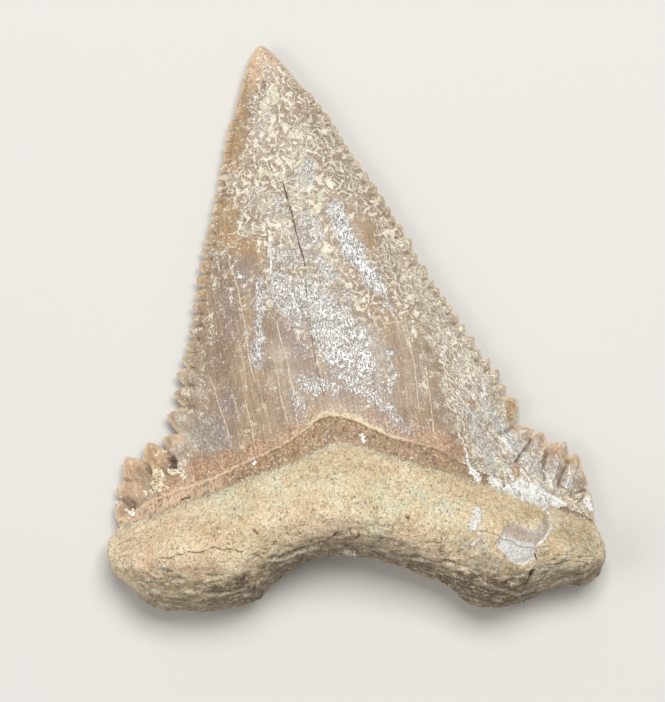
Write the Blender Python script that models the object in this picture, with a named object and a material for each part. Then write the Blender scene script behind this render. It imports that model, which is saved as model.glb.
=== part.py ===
"""Fossil shark tooth: a broad triangular crown with coarse saw edges and side cusplets, grown in one
piece with a thick two-lobed root.

The tooth lies on its flat outer (labial) face with its full inner (lingual) face up. +X is to the
right, +Y runs from the root to the tip and +Z is up. Sizes are in millimetres until the mesh is
written in metres. The shape is an outline seen from above, and two skins over it that meet there.
"""

import math

import bmesh
import bpy
import numpy as np
from mathutils import Vector, noise
from mathutils.geometry import delaunay_2d_cdt

METRES_PER_MM = 0.001

# --- The outline, from above. x is from the tooth's middle and y from the lower ends of the lobes ---
TIP = (-8.70, 51.80)
# The lines through the notches of the two cutting edges, from the tip down to the first cusplet.
LEFT_EDGE = [
    TIP, (-9.55, 50.85), (-10.20, 49.15), (-10.60, 47.60), (-11.15, 45.35), (-11.60, 43.35),
    (-11.95, 41.40), (-12.30, 39.20), (-12.85, 36.40), (-13.35, 34.00), (-13.85, 30.80),
    (-14.20, 28.40), (-14.55, 25.95), (-14.95, 23.60), (-15.35, 22.20), (-15.50, 20.40),
    (-15.65, 18.55), (-16.05, 16.10),
]
RIGHT_EDGE = [
    TIP, (-6.95, 50.40), (-5.15, 48.25), (-4.05, 46.90), (-2.50, 44.80), (-0.85, 42.20),
    (1.00, 39.40), (2.45, 37.15), (4.15, 34.30), (5.45, 31.70), (7.00, 29.50), (8.60, 27.15),
    (10.60, 23.85), (12.05, 22.05), (13.40, 19.50),
]
# The side cusplets, from the cutting edge down to the root.
LEFT_CUSPLETS = [
    (-16.95, 16.05), (-17.55, 15.60), (-17.30, 15.25), (-17.30, 14.65), (-18.10, 15.15),
    (-18.85, 15.35), (-19.15, 14.85), (-19.30, 13.85), (-19.10, 13.25), (-19.50, 13.75),
    (-20.20, 13.95), (-20.85, 14.00), (-21.10, 12.85), (-21.10, 11.75), (-21.55, 11.35),
    (-21.65, 10.90), (-21.25, 10.05), (-21.70, 10.00), (-21.75, 8.85), (-21.50, 7.95),
    (-21.70, 7.40),
]
RIGHT_CUSPLETS = [
    (14.45, 19.35), (14.75, 18.60), (14.65, 17.95), (14.45, 17.30), (14.30, 17.00),
    (14.80, 16.90), (16.00, 16.55), (15.95, 16.15), (15.90, 15.85), (16.35, 16.15),
    (16.85, 16.30), (17.15, 15.85), (17.45, 15.20), (18.00, 15.40), (18.45, 15.30),
    (18.95, 15.40), (19.15, 14.65), (19.25, 14.00), (20.00, 14.30), (20.50, 12.85),
    (20.60, 12.40), (20.85, 12.20), (20.85, 11.40), (20.90, 10.85), (21.25, 10.65),
    (21.40, 9.20), (21.35, 8.30),
]
# The root: left shoulder, left lobe, the arch between the lobes, right lobe, right shoulder.
ROOT_EDGE = [
    (-21.85, 7.00), (-22.30, 6.00), (-22.40, 5.10), (-22.25, 4.45), (-21.80, 3.55),
    (-20.55, 2.40), (-19.55, 1.25), (-18.55, 0.60), (-17.40, 0.15), (-16.00, 0.05),
    (-14.00, 0.00), (-11.75, 0.15), (-10.00, 0.55), (-8.80, 1.05), (-7.55, 2.40),
    (-5.95, 3.55), (-4.00, 4.60), (-1.50, 5.00), (1.20, 4.80), (3.90, 4.00), (6.60, 3.05),
    (7.90, 2.45), (9.25, 1.35), (10.15, 0.75), (11.05, 0.40), (11.95, 0.25), (12.85, 0.30),
    (13.90, 0.55), (15.55, 1.15), (17.50, 1.95), (19.55, 2.30), (20.75, 2.50), (21.80, 3.30),
    (22.20, 4.20), (22.40, 5.10), (22.40, 5.70), (22.20, 6.60), (21.65, 7.60),
]

# --- The saw edges: the widths of the serrations from the tip down; those near the tip are worn off ---
LEFT_SERRATIONS = [
    1.0, 1.0, 1.1, 0.9, 1.0, 1.0, 0.75, 1.0, 1.1, 0.75, 1.0, 1.1, 1.35, 1.35, 1.35, 1.1, 1.3,
    1.1, 1.2, 1.2, 1.4, 1.7, 1.9, 2.5,
]
RIGHT_SERRATIONS = [
    1.3, 1.15, 1.4, 1.2, 0.95, 0.9, 0.9, 1.1, 1.25, 1.35, 1.3, 1.05, 0.85, 1.35, 1.6, 1.25,
    1.65, 1.0, 0.95, 0.95, 0.95, 1.1, 1.2, 1.55, 1.05, 1.25, 1.55, 1.3,
]
SERRATION_RISE_AT_TIP = 0.12  # height as a share of the width
LEFT_RISE_AT_BASE, RIGHT_RISE_AT_BASE = 0.56, 0.40
SERRATION_PEAK = 0.40  # where the point is, as a share of the width

# --- The thickness ---
EDGE_HEIGHT_CROWN = 1.45  # of the cutting edges over the flat face
EDGE_HEIGHT_ROOT = 3.0  # of the root's widest line over the flat face
CROWN_RISE = 6.9  # of the inner face over the cutting edges, at the crown's foot
CROWN_FOOT = 14.0  # y where that is reached
ROOT_RISE_MIDDLE, ROOT_RISE_LOBES = 8.0, 6.2  # of the inner face over the root's widest line
ROOT_ROUNDING_LOBES, ROOT_ROUNDING_ARCH = 5.6, 3.4  # width of the root's rounded rim
ARCH_MIDDLE, ARCH_HALF_WIDTH = 0.5, 7.5
ROOT_SWELL = 5.5  # distance over which the root swells out below the neck
BEVEL_SLOPE = 0.85  # steepness of the serrations' flanks
FLAT_FACE_ROUNDING = 3.4
FLAT_FACE_SAG = 0.35  # how far the outer face would bulge below the plane it is worn flat on

# --- The lines between enamel, neck band and root: (x, y) from left to right ---
ENAMEL_LINE = [
    (-21.40, 8.20), (-20.15, 8.60), (-18.40, 9.75), (-16.00, 10.60), (-12.95, 11.60),
    (-9.85, 13.05), (-6.80, 14.45), (-4.85, 15.75), (-2.30, 17.65), (-0.80, 16.95), (2.50, 15.45),
    (5.50, 14.50), (7.80, 13.55), (9.15, 12.90), (12.70, 11.60), (14.55, 10.75), (16.80, 9.90),
    (20.05, 8.95), (21.15, 8.40),
]
ROOT_LINE = [
    (-21.40, 7.95), (-19.05, 8.35), (-16.00, 9.55), (-12.95, 10.45), (-9.85, 11.75),
    (-6.75, 12.70), (-3.80, 14.10), (-1.85, 14.90), (0.10, 14.70), (3.00, 13.75), (5.75, 12.80),
    (9.10, 12.00), (11.60, 11.25), (14.50, 10.45), (21.15, 8.25),
]
OUTER_ENAMEL_LINE = [(-21.3, 8.8), (-14.0, 8.9), (-7.0, 10.2), (0.0, 11.0), (7.0, 10.2), (14.0, 9.0), (21.2, 8.8)]
ENAMEL_LEDGE = 0.22  # thickness of the enamel where it ends
NECK_GROOVE = 0.30  # depth of the neck band below the root's upper rim

# --- Unevenness: size of the lumps and their height ---
CROWN_LUMPS = (7.0, 0.16)
ROOT_LUMPS = (3.4, 0.24)

# --- Mesh spacing ---
ROOT_STEP = 1.15
SERRATION_POINTS = (0.15, 0.40, 0.78)  # where each serration has its outline points
RINGS = (0.42, 1.05, 1.9, 2.9)  # rows of points inside the outline, by depth
LATTICE = 1.2
CUSPLET_STEP = 0.48
CLEARANCE = 0.3  # least distance between points

ENAMEL_COLOUR = (0.36, 0.25, 0.18, 1.0)
NECK_COLOUR = (0.21, 0.13, 0.08, 1.0)
ROOT_COLOUR = (0.62, 0.48, 0.29, 1.0)


def smoothstep(value):
    t = np.clip(value, 0.0, 1.0)
    return t * t * (3.0 - 2.0 * t)


def curve_through(points, step):
    """Points about a step apart on a Catmull-Rom curve through the given ones."""
    p = np.array(points, float)
    p = np.vstack([2 * p[0] - p[1], p, 2 * p[-1] - p[-2]])
    found = []
    for a, b, c, d in zip(p, p[1:], p[2:], p[3:]):
        count = max(1, round(math.dist(b, c) / step))
        for t in np.arange(count) / count:
            found.append(
                0.5 * (2 * b + (c - a) * t + (2 * a - 5 * b + 4 * c - d) * t**2 + (3 * b - a - 3 * c + d) * t**3)
            )
    return np.array([*found, p[-2]])


def saw_edge(edge, widths, rise_at_base):
    """(outline points, rows of points inside it) of one cutting edge, from the tip down."""
    line = curve_through(edge, 0.1)
    along = np.r_[0, np.cumsum(np.hypot(*np.diff(line, axis=0).T))]
    side = 1 if edge[-1][0] > edge[0][0] else -1

    def place(distance, outwards):
        x, y = (np.interp(distance, along, line[:, k]) for k in (0, 1))
        way = [np.diff(np.interp([distance - 0.4, distance + 0.4], along, line[:, k]))[0] for k in (0, 1)]
        way = way / np.hypot(*way)
        return np.array([x - side * way[1] * outwards, y + side * way[0] * outwards])

    notches = along[-1] - sum(widths) + np.r_[0, np.cumsum(widths)]
    outline = [place(s, 0) for s in np.linspace(0, notches[0], 7)]
    rows = [place(s, -depth) for depth in RINGS[:2] for s in np.linspace(1.2, notches[0], 4)]
    for start, width in zip(notches, widths):
        share = (start + width / 2) / along[-1]
        rise = width * (SERRATION_RISE_AT_TIP + (rise_at_base - SERRATION_RISE_AT_TIP) * share**0.85)
        for t in SERRATION_POINTS:
            bent = 0.5 * t / SERRATION_PEAK if t < SERRATION_PEAK else 1 - 0.5 * (1 - t) / (1 - SERRATION_PEAK)
            rounded = math.sin(math.pi * bent) ** 0.65
            pointed = 1 - abs(2 * bent - 1) ** 1.3
            outline.append(place(start + t * width, rise * (rounded + (pointed - rounded) * share**2)))
        outline.append(place(start + width, 0))
        rows += [place(start + SERRATION_PEAK * width, -depth) for depth in (-0.3 * rise, *RINGS)]
        rows += [place(start + width, -depth) for depth in RINGS]
    return outline, rows


def make_outline():
    """(the outline, anticlockwise from the tip; the points inside it that follow it)."""
    left, left_rows = saw_edge(LEFT_EDGE, LEFT_SERRATIONS, LEFT_RISE_AT_BASE)
    right, right_rows = saw_edge(RIGHT_EDGE, RIGHT_SERRATIONS, RIGHT_RISE_AT_BASE)
    root = curve_through(ROOT_EDGE, ROOT_STEP)
    outline = np.array([*left, *LEFT_CUSPLETS, *root, *RIGHT_CUSPLETS[::-1], *right[:0:-1]])
    way = np.gradient(root, axis=0)
    inwards = np.c_[-way[:, 1], way[:, 0]] / np.hypot(*way.T)[:, None]
    root_rows = [p for depth in (0.22, 0.85, 1.9, 3.3) for p in root + inwards * depth]
    return outline, np.array([*left_rows, *right_rows, *root_rows])


def distance_to(outline, points):
    """Distance of each point from the closed outline."""
    a, b = outline, np.roll(outline, -1, axis=0)
    ab = b - a
    nearest = []
    for p in points:
        t = np.clip(((p - a) * ab).sum(axis=1) / (ab**2).sum(axis=1), 0, 1)
        nearest.append(np.hypot(*(a + t[:, None] * ab - p).T).min())
    return np.array(nearest)


def inside(outline, points):
    """Whether each point is inside the closed outline, by counting the edges to its right."""
    a, b = outline, np.roll(outline, -1, axis=0)
    found = []
    for x, y in points:
        spans = (a[:, 1] > y) != (b[:, 1] > y)
        crossing = a[spans, 0] + (y - a[spans, 1]) * (b[spans, 0] - a[spans, 0]) / (b[spans, 1] - a[spans, 1])
        found.append((crossing > x).sum() % 2 == 1)
    return np.array(found)


def line_at(points, x):
    """The height y of a line from left to right, at each x."""
    line = curve_through(points, 0.5)
    return np.interp(x, *line.T)


def crown_share(outline, x, y):
    """How far across the crown each point is: -1 at its left edge, 0 midway and 1 at its right edge."""
    tip_at = int(np.argmax(outline[:, 1]))
    foot_left, foot_right = int(np.argmin(outline[:, 0])), int(np.argmax(outline[:, 0]))
    left = outline[tip_at : foot_left + 1]
    right = np.vstack([outline[foot_right:], outline[:1]])
    rows = np.linspace(0, TIP[1], 160)
    reach_left = [left[np.abs(left[:, 1] - r) < 0.9, 0].min(initial=TIP[0]) for r in rows]
    reach_right = [right[np.abs(right[:, 1] - r) < 0.9, 0].max(initial=TIP[0]) for r in rows]
    smooth = np.hanning(9) / np.hanning(9).sum()
    edge = [np.convolve(np.pad(e, 4, mode="edge"), smooth, mode="valid") for e in (reach_left, reach_right)]
    low, high = (np.interp(y, rows, e) for e in edge)
    return np.clip((2 * x - low - high) / np.maximum(high - low, 0.4), -1, 1)


def edge_height(y):
    """Height over the flat face of the line where the two skins meet."""
    return EDGE_HEIGHT_CROWN + (EDGE_HEIGHT_ROOT - EDGE_HEIGHT_CROWN) * smoothstep((10.0 - y) / 5.0)


def rim(depth, width):
    """0 at the outline and 1 from a width inside it, by a quarter circle."""
    return np.sqrt(1 - (1 - np.clip(depth / width, 0, 1)) ** 2)


def soft_least(a, b, blend):
    """The smaller of two heights, with a rounded meeting."""
    near = np.clip(0.5 + 0.5 * (b - a) / blend, 0, 1)
    return b + (a - b) * near - blend * near * (1 - near)


def lumps(x, y, size_and_height, layer):
    size, height = size_and_height
    return height * np.array([noise.noise(Vector((a / size, b / size, layer))) for a, b in zip(x, y)])


def crown_inner(share, y):
    """Height of the crown's inner face over the cutting edges: full in the middle, thin at the edges."""
    grown = np.clip((TIP[1] + 0.2 - y) / (TIP[1] - CROWN_FOOT), 0, 1.15)
    return CROWN_RISE * grown**0.85 * (1 - np.abs(share) ** 2.1) ** 1.15


def inner_skin(outline, points, depth):
    """Height of the upper, inner face."""
    x, y = points.T
    base = edge_height(y)
    enamel_y, root_y = line_at(ENAMEL_LINE, x), line_at(ROOT_LINE, x)
    share = crown_share(outline, x, y)
    crown = base + crown_inner(share, y)
    crown += lumps(x, y, CROWN_LUMPS, 1.0) * rim(depth, 2.0)
    crown = base + soft_least(crown - base, BEVEL_SLOPE * depth, 0.15)
    neck = edge_height(root_y) + crown_inner(crown_share(outline, x, root_y), root_y)
    full = EDGE_HEIGHT_ROOT + ROOT_RISE_MIDDLE + (ROOT_RISE_LOBES - ROOT_RISE_MIDDLE) * smoothstep(np.abs(x) / 19)
    swell = smoothstep((root_y - y) / ROOT_SWELL + 0.12)
    root = neck + NECK_GROOVE * smoothstep((root_y - y) / 0.9) + (full - neck) * swell
    at_arch = np.exp(-(((x - ARCH_MIDDLE) / ARCH_HALF_WIDTH) ** 4))
    rounding = ROOT_ROUNDING_LOBES + (ROOT_ROUNDING_ARCH - ROOT_ROUNDING_LOBES) * at_arch
    root = base + (root - base) * rim(depth, rounding)
    root += lumps(x, y, ROOT_LUMPS, 2.0) * rim(depth, 2.0)
    on_crown = smoothstep((y - root_y) / (enamel_y - root_y + 0.4))
    ledge = ENAMEL_LEDGE * smoothstep((y - enamel_y) / 0.3 + 0.5) * rim(depth, 2.0)
    return root + (crown - root) * on_crown + ledge - ENAMEL_LEDGE * rim(depth, 2.0) * on_crown


def outer_skin(outline, points, depth):
    """Height of the lower, outer face, worn flat at 0 where it would bulge below."""
    x, y = points.T
    base = edge_height(y)
    share = crown_share(outline, x, y)
    from_tip = smoothstep((TIP[1] - y) / 9.0)
    bulge = (base + FLAT_FACE_SAG) * (1 - np.abs(share) ** 2.6) * from_tip
    crown = base - soft_least(bulge, BEVEL_SLOPE * 0.8 * depth, 0.15)
    root = base * (1 - rim(depth, FLAT_FACE_ROUNDING)) - 0.05 + lumps(x, y, ROOT_LUMPS, 3.0) * rim(depth, 2.0)
    enamel_y = line_at(OUTER_ENAMEL_LINE, x)
    hollow = 0.45 * np.exp(-(((y - enamel_y + 1.3) / 1.5) ** 2)) * rim(depth, 3.0)
    on_crown = smoothstep((y - enamel_y) / 0.9 + 0.5)
    return np.maximum(root + hollow + (crown - root - hollow * 0.25) * on_crown, 0.0)


def spread_points(outline, rows):
    """The points inside the outline: the rows that follow it, the tooth's own lines and a lattice."""
    steps = np.arange(-21.0, 21.1, 1.0)
    lines = [
        np.c_[steps, line_at(line, steps) + offset]
        for line in (ENAMEL_LINE, ROOT_LINE)
        for offset in (-0.2, 0.2)
    ]
    rows_up = LATTICE * math.sqrt(3) / 2
    lattice = [
        (LATTICE * (i + 0.5 * (j % 2)), rows_up * j)
        for j in range(int(TIP[1] / rows_up) + 1)
        for i in range(-17, 18)
    ]
    lattice = np.array(lattice)
    lattice = lattice[distance_to(outline, lattice) > RINGS[-1] + 0.6]
    fine = [
        (side * (CUSPLET_STEP * (i + 0.5 * (j % 2)) + 14.0), 8.0 + 0.87 * CUSPLET_STEP * j)
        for side in (-1, 1)
        for j in range(int(9.5 / CUSPLET_STEP / 0.87))
        for i in range(int(8.0 / CUSPLET_STEP))
    ]
    wanted = np.vstack([rows, *lines, fine, lattice])
    wanted = wanted[inside(outline, wanted)]
    wanted = wanted[distance_to(outline, wanted) > 0.18]
    cells = {}
    for p in wanted:
        i, j = (int(c // CLEARANCE) for c in p)
        near = [cells[a, b] for a in (i - 1, i, i + 1) for b in (j - 1, j, j + 1) if (a, b) in cells]
        if all(math.dist(p, q) > CLEARANCE for q in near):
            cells[i, j] = p
    return np.array(list(cells.values()))


def triangulate(outline, points):
    """(points, triangles facing up): a point is added midway on each triangle's side that joins two
    points of the outline across the tooth, since the two skins may meet at the outline only."""
    count = len(outline)
    edges = [(i, (i + 1) % count) for i in range(count)]
    while True:
        places = [Vector(p) for p in np.vstack([outline, points])]
        triangles = delaunay_2d_cdt(places, edges, [], 1, 1e-6)[2]
        sides = {tuple(sorted((t[k], t[k - 1]))) for t in triangles for k in range(3)}
        across = [(a, b) for a, b in sorted(sides) if b < count and b - a not in (1, count - 1)]
        if not across:
            return points, triangles
        points = np.vstack([points, [(outline[a] + outline[b]) / 2 for a, b in across]])


def make_material(name, colour, roughness):
    material = bpy.data.materials.new(name)
    material.use_nodes = True
    shader = material.node_tree.nodes["Principled BSDF"]
    shader.inputs["Base Color"].default_value = colour
    shader.inputs["Roughness"].default_value = roughness
    shader.inputs["Metallic"].default_value = 0.0
    material.diffuse_color = colour
    return material


def paint(mesh):
    """Gives each face the enamel, the neck band's or the root's material."""
    x, y, _ = np.array([face.center for face in mesh.polygons]).T / METRES_PER_MM
    y = y + TIP[1] / 2
    inner = np.array([face.normal.z > 0 for face in mesh.polygons])
    on_inner = np.where(y < line_at(ROOT_LINE, x), 2, np.where(y < line_at(ENAMEL_LINE, x), 1, 0))
    on_outer = np.where(y < line_at(OUTER_ENAMEL_LINE, x), 2, 0)
    mesh.polygons.foreach_set("material_index", np.where(inner, on_inner, on_outer).astype(np.int32))


def make_tooth():
    outline, rows = make_outline()
    points, triangles = triangulate(outline, spread_points(outline, rows))
    plan = np.vstack([outline, points])
    depth = distance_to(outline, plan)
    rim_height = edge_height(outline[:, 1])
    upper = np.r_[rim_height, inner_skin(outline, points, depth[len(outline) :])]
    lower = np.r_[rim_height, outer_skin(outline, points, depth[len(outline) :])]
    plan = plan - (0, TIP[1] / 2)
    shape = bmesh.new()
    top = [shape.verts.new(Vector((x, y, z)) * METRES_PER_MM) for (x, y), z in zip(plan, upper)]
    bottom = top[: len(outline)] + [
        shape.verts.new(Vector((x, y, z)) * METRES_PER_MM)
        for (x, y), z in zip(plan[len(outline) :], lower[len(outline) :])
    ]
    for a, b, c in triangles:
        shape.faces.new((top[a], top[b], top[c]))
        shape.faces.new((bottom[c], bottom[b], bottom[a]))
    mesh = bpy.data.meshes.new("tooth")
    shape.to_mesh(mesh)
    shape.free()
    return mesh


for old in list(bpy.data.objects):
    bpy.data.objects.remove(old)

tooth_mesh = make_tooth()
tooth_mesh.materials.append(make_material("enamel", ENAMEL_COLOUR, 0.35))
tooth_mesh.materials.append(make_material("neck_band", NECK_COLOUR, 0.6))
tooth_mesh.materials.append(make_material("root", ROOT_COLOUR, 0.8))
paint(tooth_mesh)
tooth_mesh.shade_smooth()
tooth_mesh.set_sharp_from_angle(angle=math.radians(50))
tooth = bpy.data.objects.new("tooth", tooth_mesh)
bpy.context.scene.collection.objects.link(tooth)
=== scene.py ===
"""Looks of a fossil shark tooth that lies on its flat outer face: worn enamel crown, neck band, root."""

import math

import bpy
import numpy as np
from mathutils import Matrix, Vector, kdtree, noise
from mathutils.geometry import delaunay_2d_cdt


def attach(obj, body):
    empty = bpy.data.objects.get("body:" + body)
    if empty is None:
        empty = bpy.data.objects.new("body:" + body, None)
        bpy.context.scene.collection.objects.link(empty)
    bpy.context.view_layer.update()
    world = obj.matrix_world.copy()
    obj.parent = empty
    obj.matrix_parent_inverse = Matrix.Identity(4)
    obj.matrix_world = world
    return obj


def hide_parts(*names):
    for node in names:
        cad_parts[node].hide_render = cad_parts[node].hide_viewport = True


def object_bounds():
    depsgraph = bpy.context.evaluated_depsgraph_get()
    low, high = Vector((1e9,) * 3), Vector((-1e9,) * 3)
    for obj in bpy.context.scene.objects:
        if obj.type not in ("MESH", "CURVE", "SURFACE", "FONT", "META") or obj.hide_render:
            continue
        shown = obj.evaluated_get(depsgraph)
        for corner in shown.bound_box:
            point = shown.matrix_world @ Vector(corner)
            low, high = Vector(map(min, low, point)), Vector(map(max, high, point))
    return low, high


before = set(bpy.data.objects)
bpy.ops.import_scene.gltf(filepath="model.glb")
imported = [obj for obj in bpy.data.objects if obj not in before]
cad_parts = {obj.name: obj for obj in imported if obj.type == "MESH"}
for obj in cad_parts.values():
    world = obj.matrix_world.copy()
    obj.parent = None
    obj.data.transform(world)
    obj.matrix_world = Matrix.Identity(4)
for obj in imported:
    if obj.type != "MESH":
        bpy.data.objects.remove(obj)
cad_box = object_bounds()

# --- The camera ---
# It looks down on the lying tooth from 300 mm, a little from the root's side, through a long lens
# that takes in about 63 mm of the table from top to bottom.
MM = 0.001
AIM = Vector((-2.15, -2.50, 4.00)) * MM
CAMERA_DISTANCE = 300 * MM
CAMERA_RISE = math.radians(84)
VIEW_HEIGHT = 63.18 * MM
SENSOR_SIZE = 36.0

camera_data = bpy.data.cameras.new("camera")
camera_data.sensor_width = SENSOR_SIZE
camera_data.lens = SENSOR_SIZE * CAMERA_DISTANCE / VIEW_HEIGHT
camera = bpy.data.objects.new("camera", camera_data)
camera.location = AIM + Vector((0, -math.cos(CAMERA_RISE), math.sin(CAMERA_RISE))) * CAMERA_DISTANCE
camera.rotation_euler = (math.pi / 2 - CAMERA_RISE, 0, 0)
bpy.context.scene.collection.objects.link(camera)
bpy.context.scene.camera = camera
bpy.context.scene.view_settings.view_transform = "Standard"


# --- The table and the light ---
# The tooth lies on a plain pale board. One soft box hangs over the tip's side, so that the enamel
# shines towards the camera, and a dimmer one and the pale room fill the shadows.
class Shade:
    """A socket of a node tree. +, -, *, abs and | (the greater of two) add their own Math nodes."""

    def __init__(self, tree, socket):
        self.tree, self.socket = tree, socket

    def maths(self, operation, a, b=0.0):
        return self.tree.make("ShaderNodeMath", {"operation": operation}, {0: a, 1: b})

    def __add__(self, other):
        return self.maths("ADD", self, other)

    def __sub__(self, other):
        return self.maths("SUBTRACT", self, other)

    def __rsub__(self, other):
        return self.maths("SUBTRACT", other, self)

    def __mul__(self, other):
        return self.maths("MULTIPLY", self, other)

    def __abs__(self):
        return self.maths("ABSOLUTE", self)

    def __or__(self, other):
        return self.maths("MAXIMUM", self, other)

    __radd__ = __add__
    __rmul__ = __mul__


class Tree:
    """A node tree, and the one way to add a node to it: its type, its settings and its inputs."""

    def __init__(self, tree):
        self.nodes, self.links = tree.nodes, tree.links

    def put(self, socket, value):
        """Links a socket to a Shade, or sets it to a plain value."""
        if isinstance(value, Shade):
            self.links.new(value.socket, socket)
        else:
            socket.default_value = value

    def make(self, kind, settings, inputs, output=0):
        """A new node's output, or the node itself where it has none."""
        node = self.nodes.new(kind)
        for name, value in settings.items():
            setattr(node, name, value)
        for name, value in inputs.items():
            self.put(node.inputs[name], value)
        return Shade(self, node.outputs[output]) if node.outputs else node

    def vector(self, operation, a, b):
        """A sum or difference of two vectors."""
        return self.make("ShaderNodeVectorMath", {"operation": operation}, {0: a, 1: b})

    def scaled(self, vector, factor):
        """A vector or a colour times a number."""
        return self.make("ShaderNodeVectorMath", {"operation": "SCALE"}, {0: vector, 3: factor})


class Finish(Tree):
    """One material, and the patterns that it is made of."""

    def __init__(self, name, **principled):
        self.material = bpy.data.materials.new(name)
        self.material.use_nodes = True
        super().__init__(self.material.node_tree)
        self.surface = self.nodes["Principled BSDF"].inputs
        for socket, value in principled.items():
            self.put(self.surface[socket.replace("_", " ")], value)

    def places(self):
        """Places on the piece, in millimetres."""
        coordinates = self.make("ShaderNodeTexCoord", {}, {}, "Object")
        return self.make("ShaderNodeMapping", {}, {0: coordinates, 3: (1 / MM,) * 3})

    def noise(self, place, scale, detail=2.0, roughness=0.5, output=0):
        """Noise with lumps of about 1 / scale millimetres, from 0 to 1."""
        inputs = {"Vector": place, "Scale": scale, "Detail": detail, "Roughness": roughness}
        return self.make("ShaderNodeTexNoise", {}, inputs, output)

    def fade(self, value, low, high):
        """0 below low and 1 above high, or the other way round where low is the higher."""
        settings = {"interpolation_type": "SMOOTHSTEP"}
        return self.make("ShaderNodeMapRange", settings, {0: value, 1: low, 2: high, 3: 0.0, 4: 1.0})

    def mix(self, base, other, share):
        """The base colour where the share is 0, and the other where it is 1."""
        return self.make("ShaderNodeMix", {"data_type": "RGBA"}, {0: share, 6: base, 7: other}, 2)

    def stretched(self, place, sizes, turn=0.0):
        """Places in which one unit is so many millimetres along each axis, turned in plan."""
        inputs = {0: place, 2: (0.0, 0.0, turn), 3: sizes}
        return self.make("ShaderNodeMapping", {"vector_type": "TEXTURE"}, inputs)

    def read(self, name):
        """The number that the mesh holds under a name."""
        return self.make("ShaderNodeAttribute", {"attribute_name": name}, {}, "Fac")


def tone(red, green, blue):
    """A colour in linear light, from its screen values."""
    parts = [c / 255 for c in (red, green, blue)]
    return (*[c / 12.92 if c <= 0.04045 else ((c + 0.055) / 1.055) ** 2.4 for c in parts], 1.0)


def add_object(name, data):
    """A new object in the scene, unturned at the origin."""
    made = bpy.data.objects.new(name, data)
    bpy.context.scene.collection.objects.link(made)
    return made


def hang_soft_box(name, elevation, azimuth, distance, width, height, power):
    """A rectangular lamp that faces the tooth. Azimuth 0 is over the root's side, 180 over the tip's."""
    lamp = bpy.data.lights.new(name, "AREA")
    lamp.shape = "RECTANGLE"
    lamp.size, lamp.size_y = width, height
    lamp.energy = power
    rise, turn = math.radians(elevation), math.radians(azimuth)
    way = Vector((math.sin(turn) * math.cos(rise), -math.cos(turn) * math.cos(rise), math.sin(rise)))
    made = add_object(name, lamp)
    made.location = way * distance
    made.rotation_euler = way.to_track_quat("Z", "Y").to_euler()


BOARD_HALF = 0.6
BOARD_TONE = tone(218, 215, 209)
ROOM_COLOUR, ROOM_BRIGHTNESS = (0.95, 0.97, 1.0, 1.0), 0.28

board_mesh = bpy.data.meshes.new("board")
corners = [(BOARD_HALF * a, BOARD_HALF * b, 0.0) for a, b in ((-1, -1), (1, -1), (1, 1), (-1, 1))]
board_mesh.from_pydata(corners, [], [(0, 1, 2, 3)])
board = add_object("board", board_mesh)
board_mesh.materials.append(Finish("board", Base_Color=BOARD_TONE, Roughness=0.9).material)

hang_soft_box("key_box", elevation=70, azimuth=160, distance=0.55, width=0.34, height=0.22, power=2.65)
hang_soft_box("fill_box", elevation=42, azimuth=285, distance=0.7, width=0.4, height=0.4, power=1.35)
room = bpy.data.worlds.new("room")
room.use_nodes = True
background = room.node_tree.nodes["Background"]
background.inputs["Color"].default_value = ROOM_COLOUR
background.inputs["Strength"].default_value = ROOM_BRIGHTNESS
bpy.context.scene.world = room

# --- The tooth ---
# Crown, cusplets, neck and root grew as one piece, and are one skin here: an outline, and an inner
# and an outer face over it that meet there. The enamel crown is glassy where sound and etched by
# burial where it isn't. The root is bare, porous and chalky.

# The outline, in millimetres. The root's base is at y = 0, and x = 0 is midway between the lobes.
TIP = (-8.70, 51.80)
LEFT_EDGE = [
    TIP, (-9.10, 51.58), (-9.60, 50.85), (-10.20, 49.15), (-10.60, 47.60), (-11.15, 45.35),
    (-11.60, 43.35), (-11.95, 41.40), (-12.30, 39.20), (-12.85, 36.40), (-13.35, 34.00),
    (-13.85, 30.80), (-14.20, 28.40), (-14.55, 25.95), (-14.95, 23.60), (-15.35, 22.20),
    (-15.50, 20.40), (-15.65, 18.55), (-16.05, 16.10),
]
RIGHT_EDGE = [
    TIP, (-8.25, 51.58), (-6.95, 50.40), (-5.15, 48.25), (-4.05, 46.90), (-2.50, 44.80),
    (-0.85, 42.20), (1.00, 39.40), (2.45, 37.15), (4.15, 34.30), (5.45, 31.70), (7.00, 29.50),
    (8.60, 27.15), (10.60, 23.85), (12.05, 22.05), (13.40, 19.50),
]
LEFT_CUSPLETS = [
    (-16.95, 16.05), (-17.55, 15.60), (-17.30, 15.25), (-17.30, 14.65), (-18.10, 15.15),
    (-18.85, 15.35), (-19.15, 14.85), (-19.30, 13.85), (-19.10, 13.25), (-19.50, 13.75),
    (-20.20, 13.95), (-20.85, 14.00), (-21.10, 12.85), (-21.10, 11.75), (-21.55, 11.35),
    (-21.65, 10.90), (-21.25, 10.05), (-21.70, 10.00), (-21.75, 8.85), (-21.50, 7.95),
    (-21.70, 7.40),
]
RIGHT_CUSPLETS = [
    (14.45, 19.35), (14.75, 18.60), (14.65, 17.95), (14.45, 17.30), (14.30, 17.00),
    (14.80, 16.90), (16.00, 16.55), (15.95, 16.15), (15.90, 15.85), (16.35, 16.15),
    (16.85, 16.30), (17.15, 15.85), (17.45, 15.20), (18.00, 15.40), (18.45, 15.30),
    (18.95, 15.40), (19.15, 14.65), (19.25, 14.00), (20.00, 14.30), (20.50, 12.85),
    (20.60, 12.40), (20.85, 12.20), (20.85, 11.40), (20.90, 10.85), (21.25, 10.65),
    (21.40, 9.20), (21.35, 8.30),
]
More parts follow.
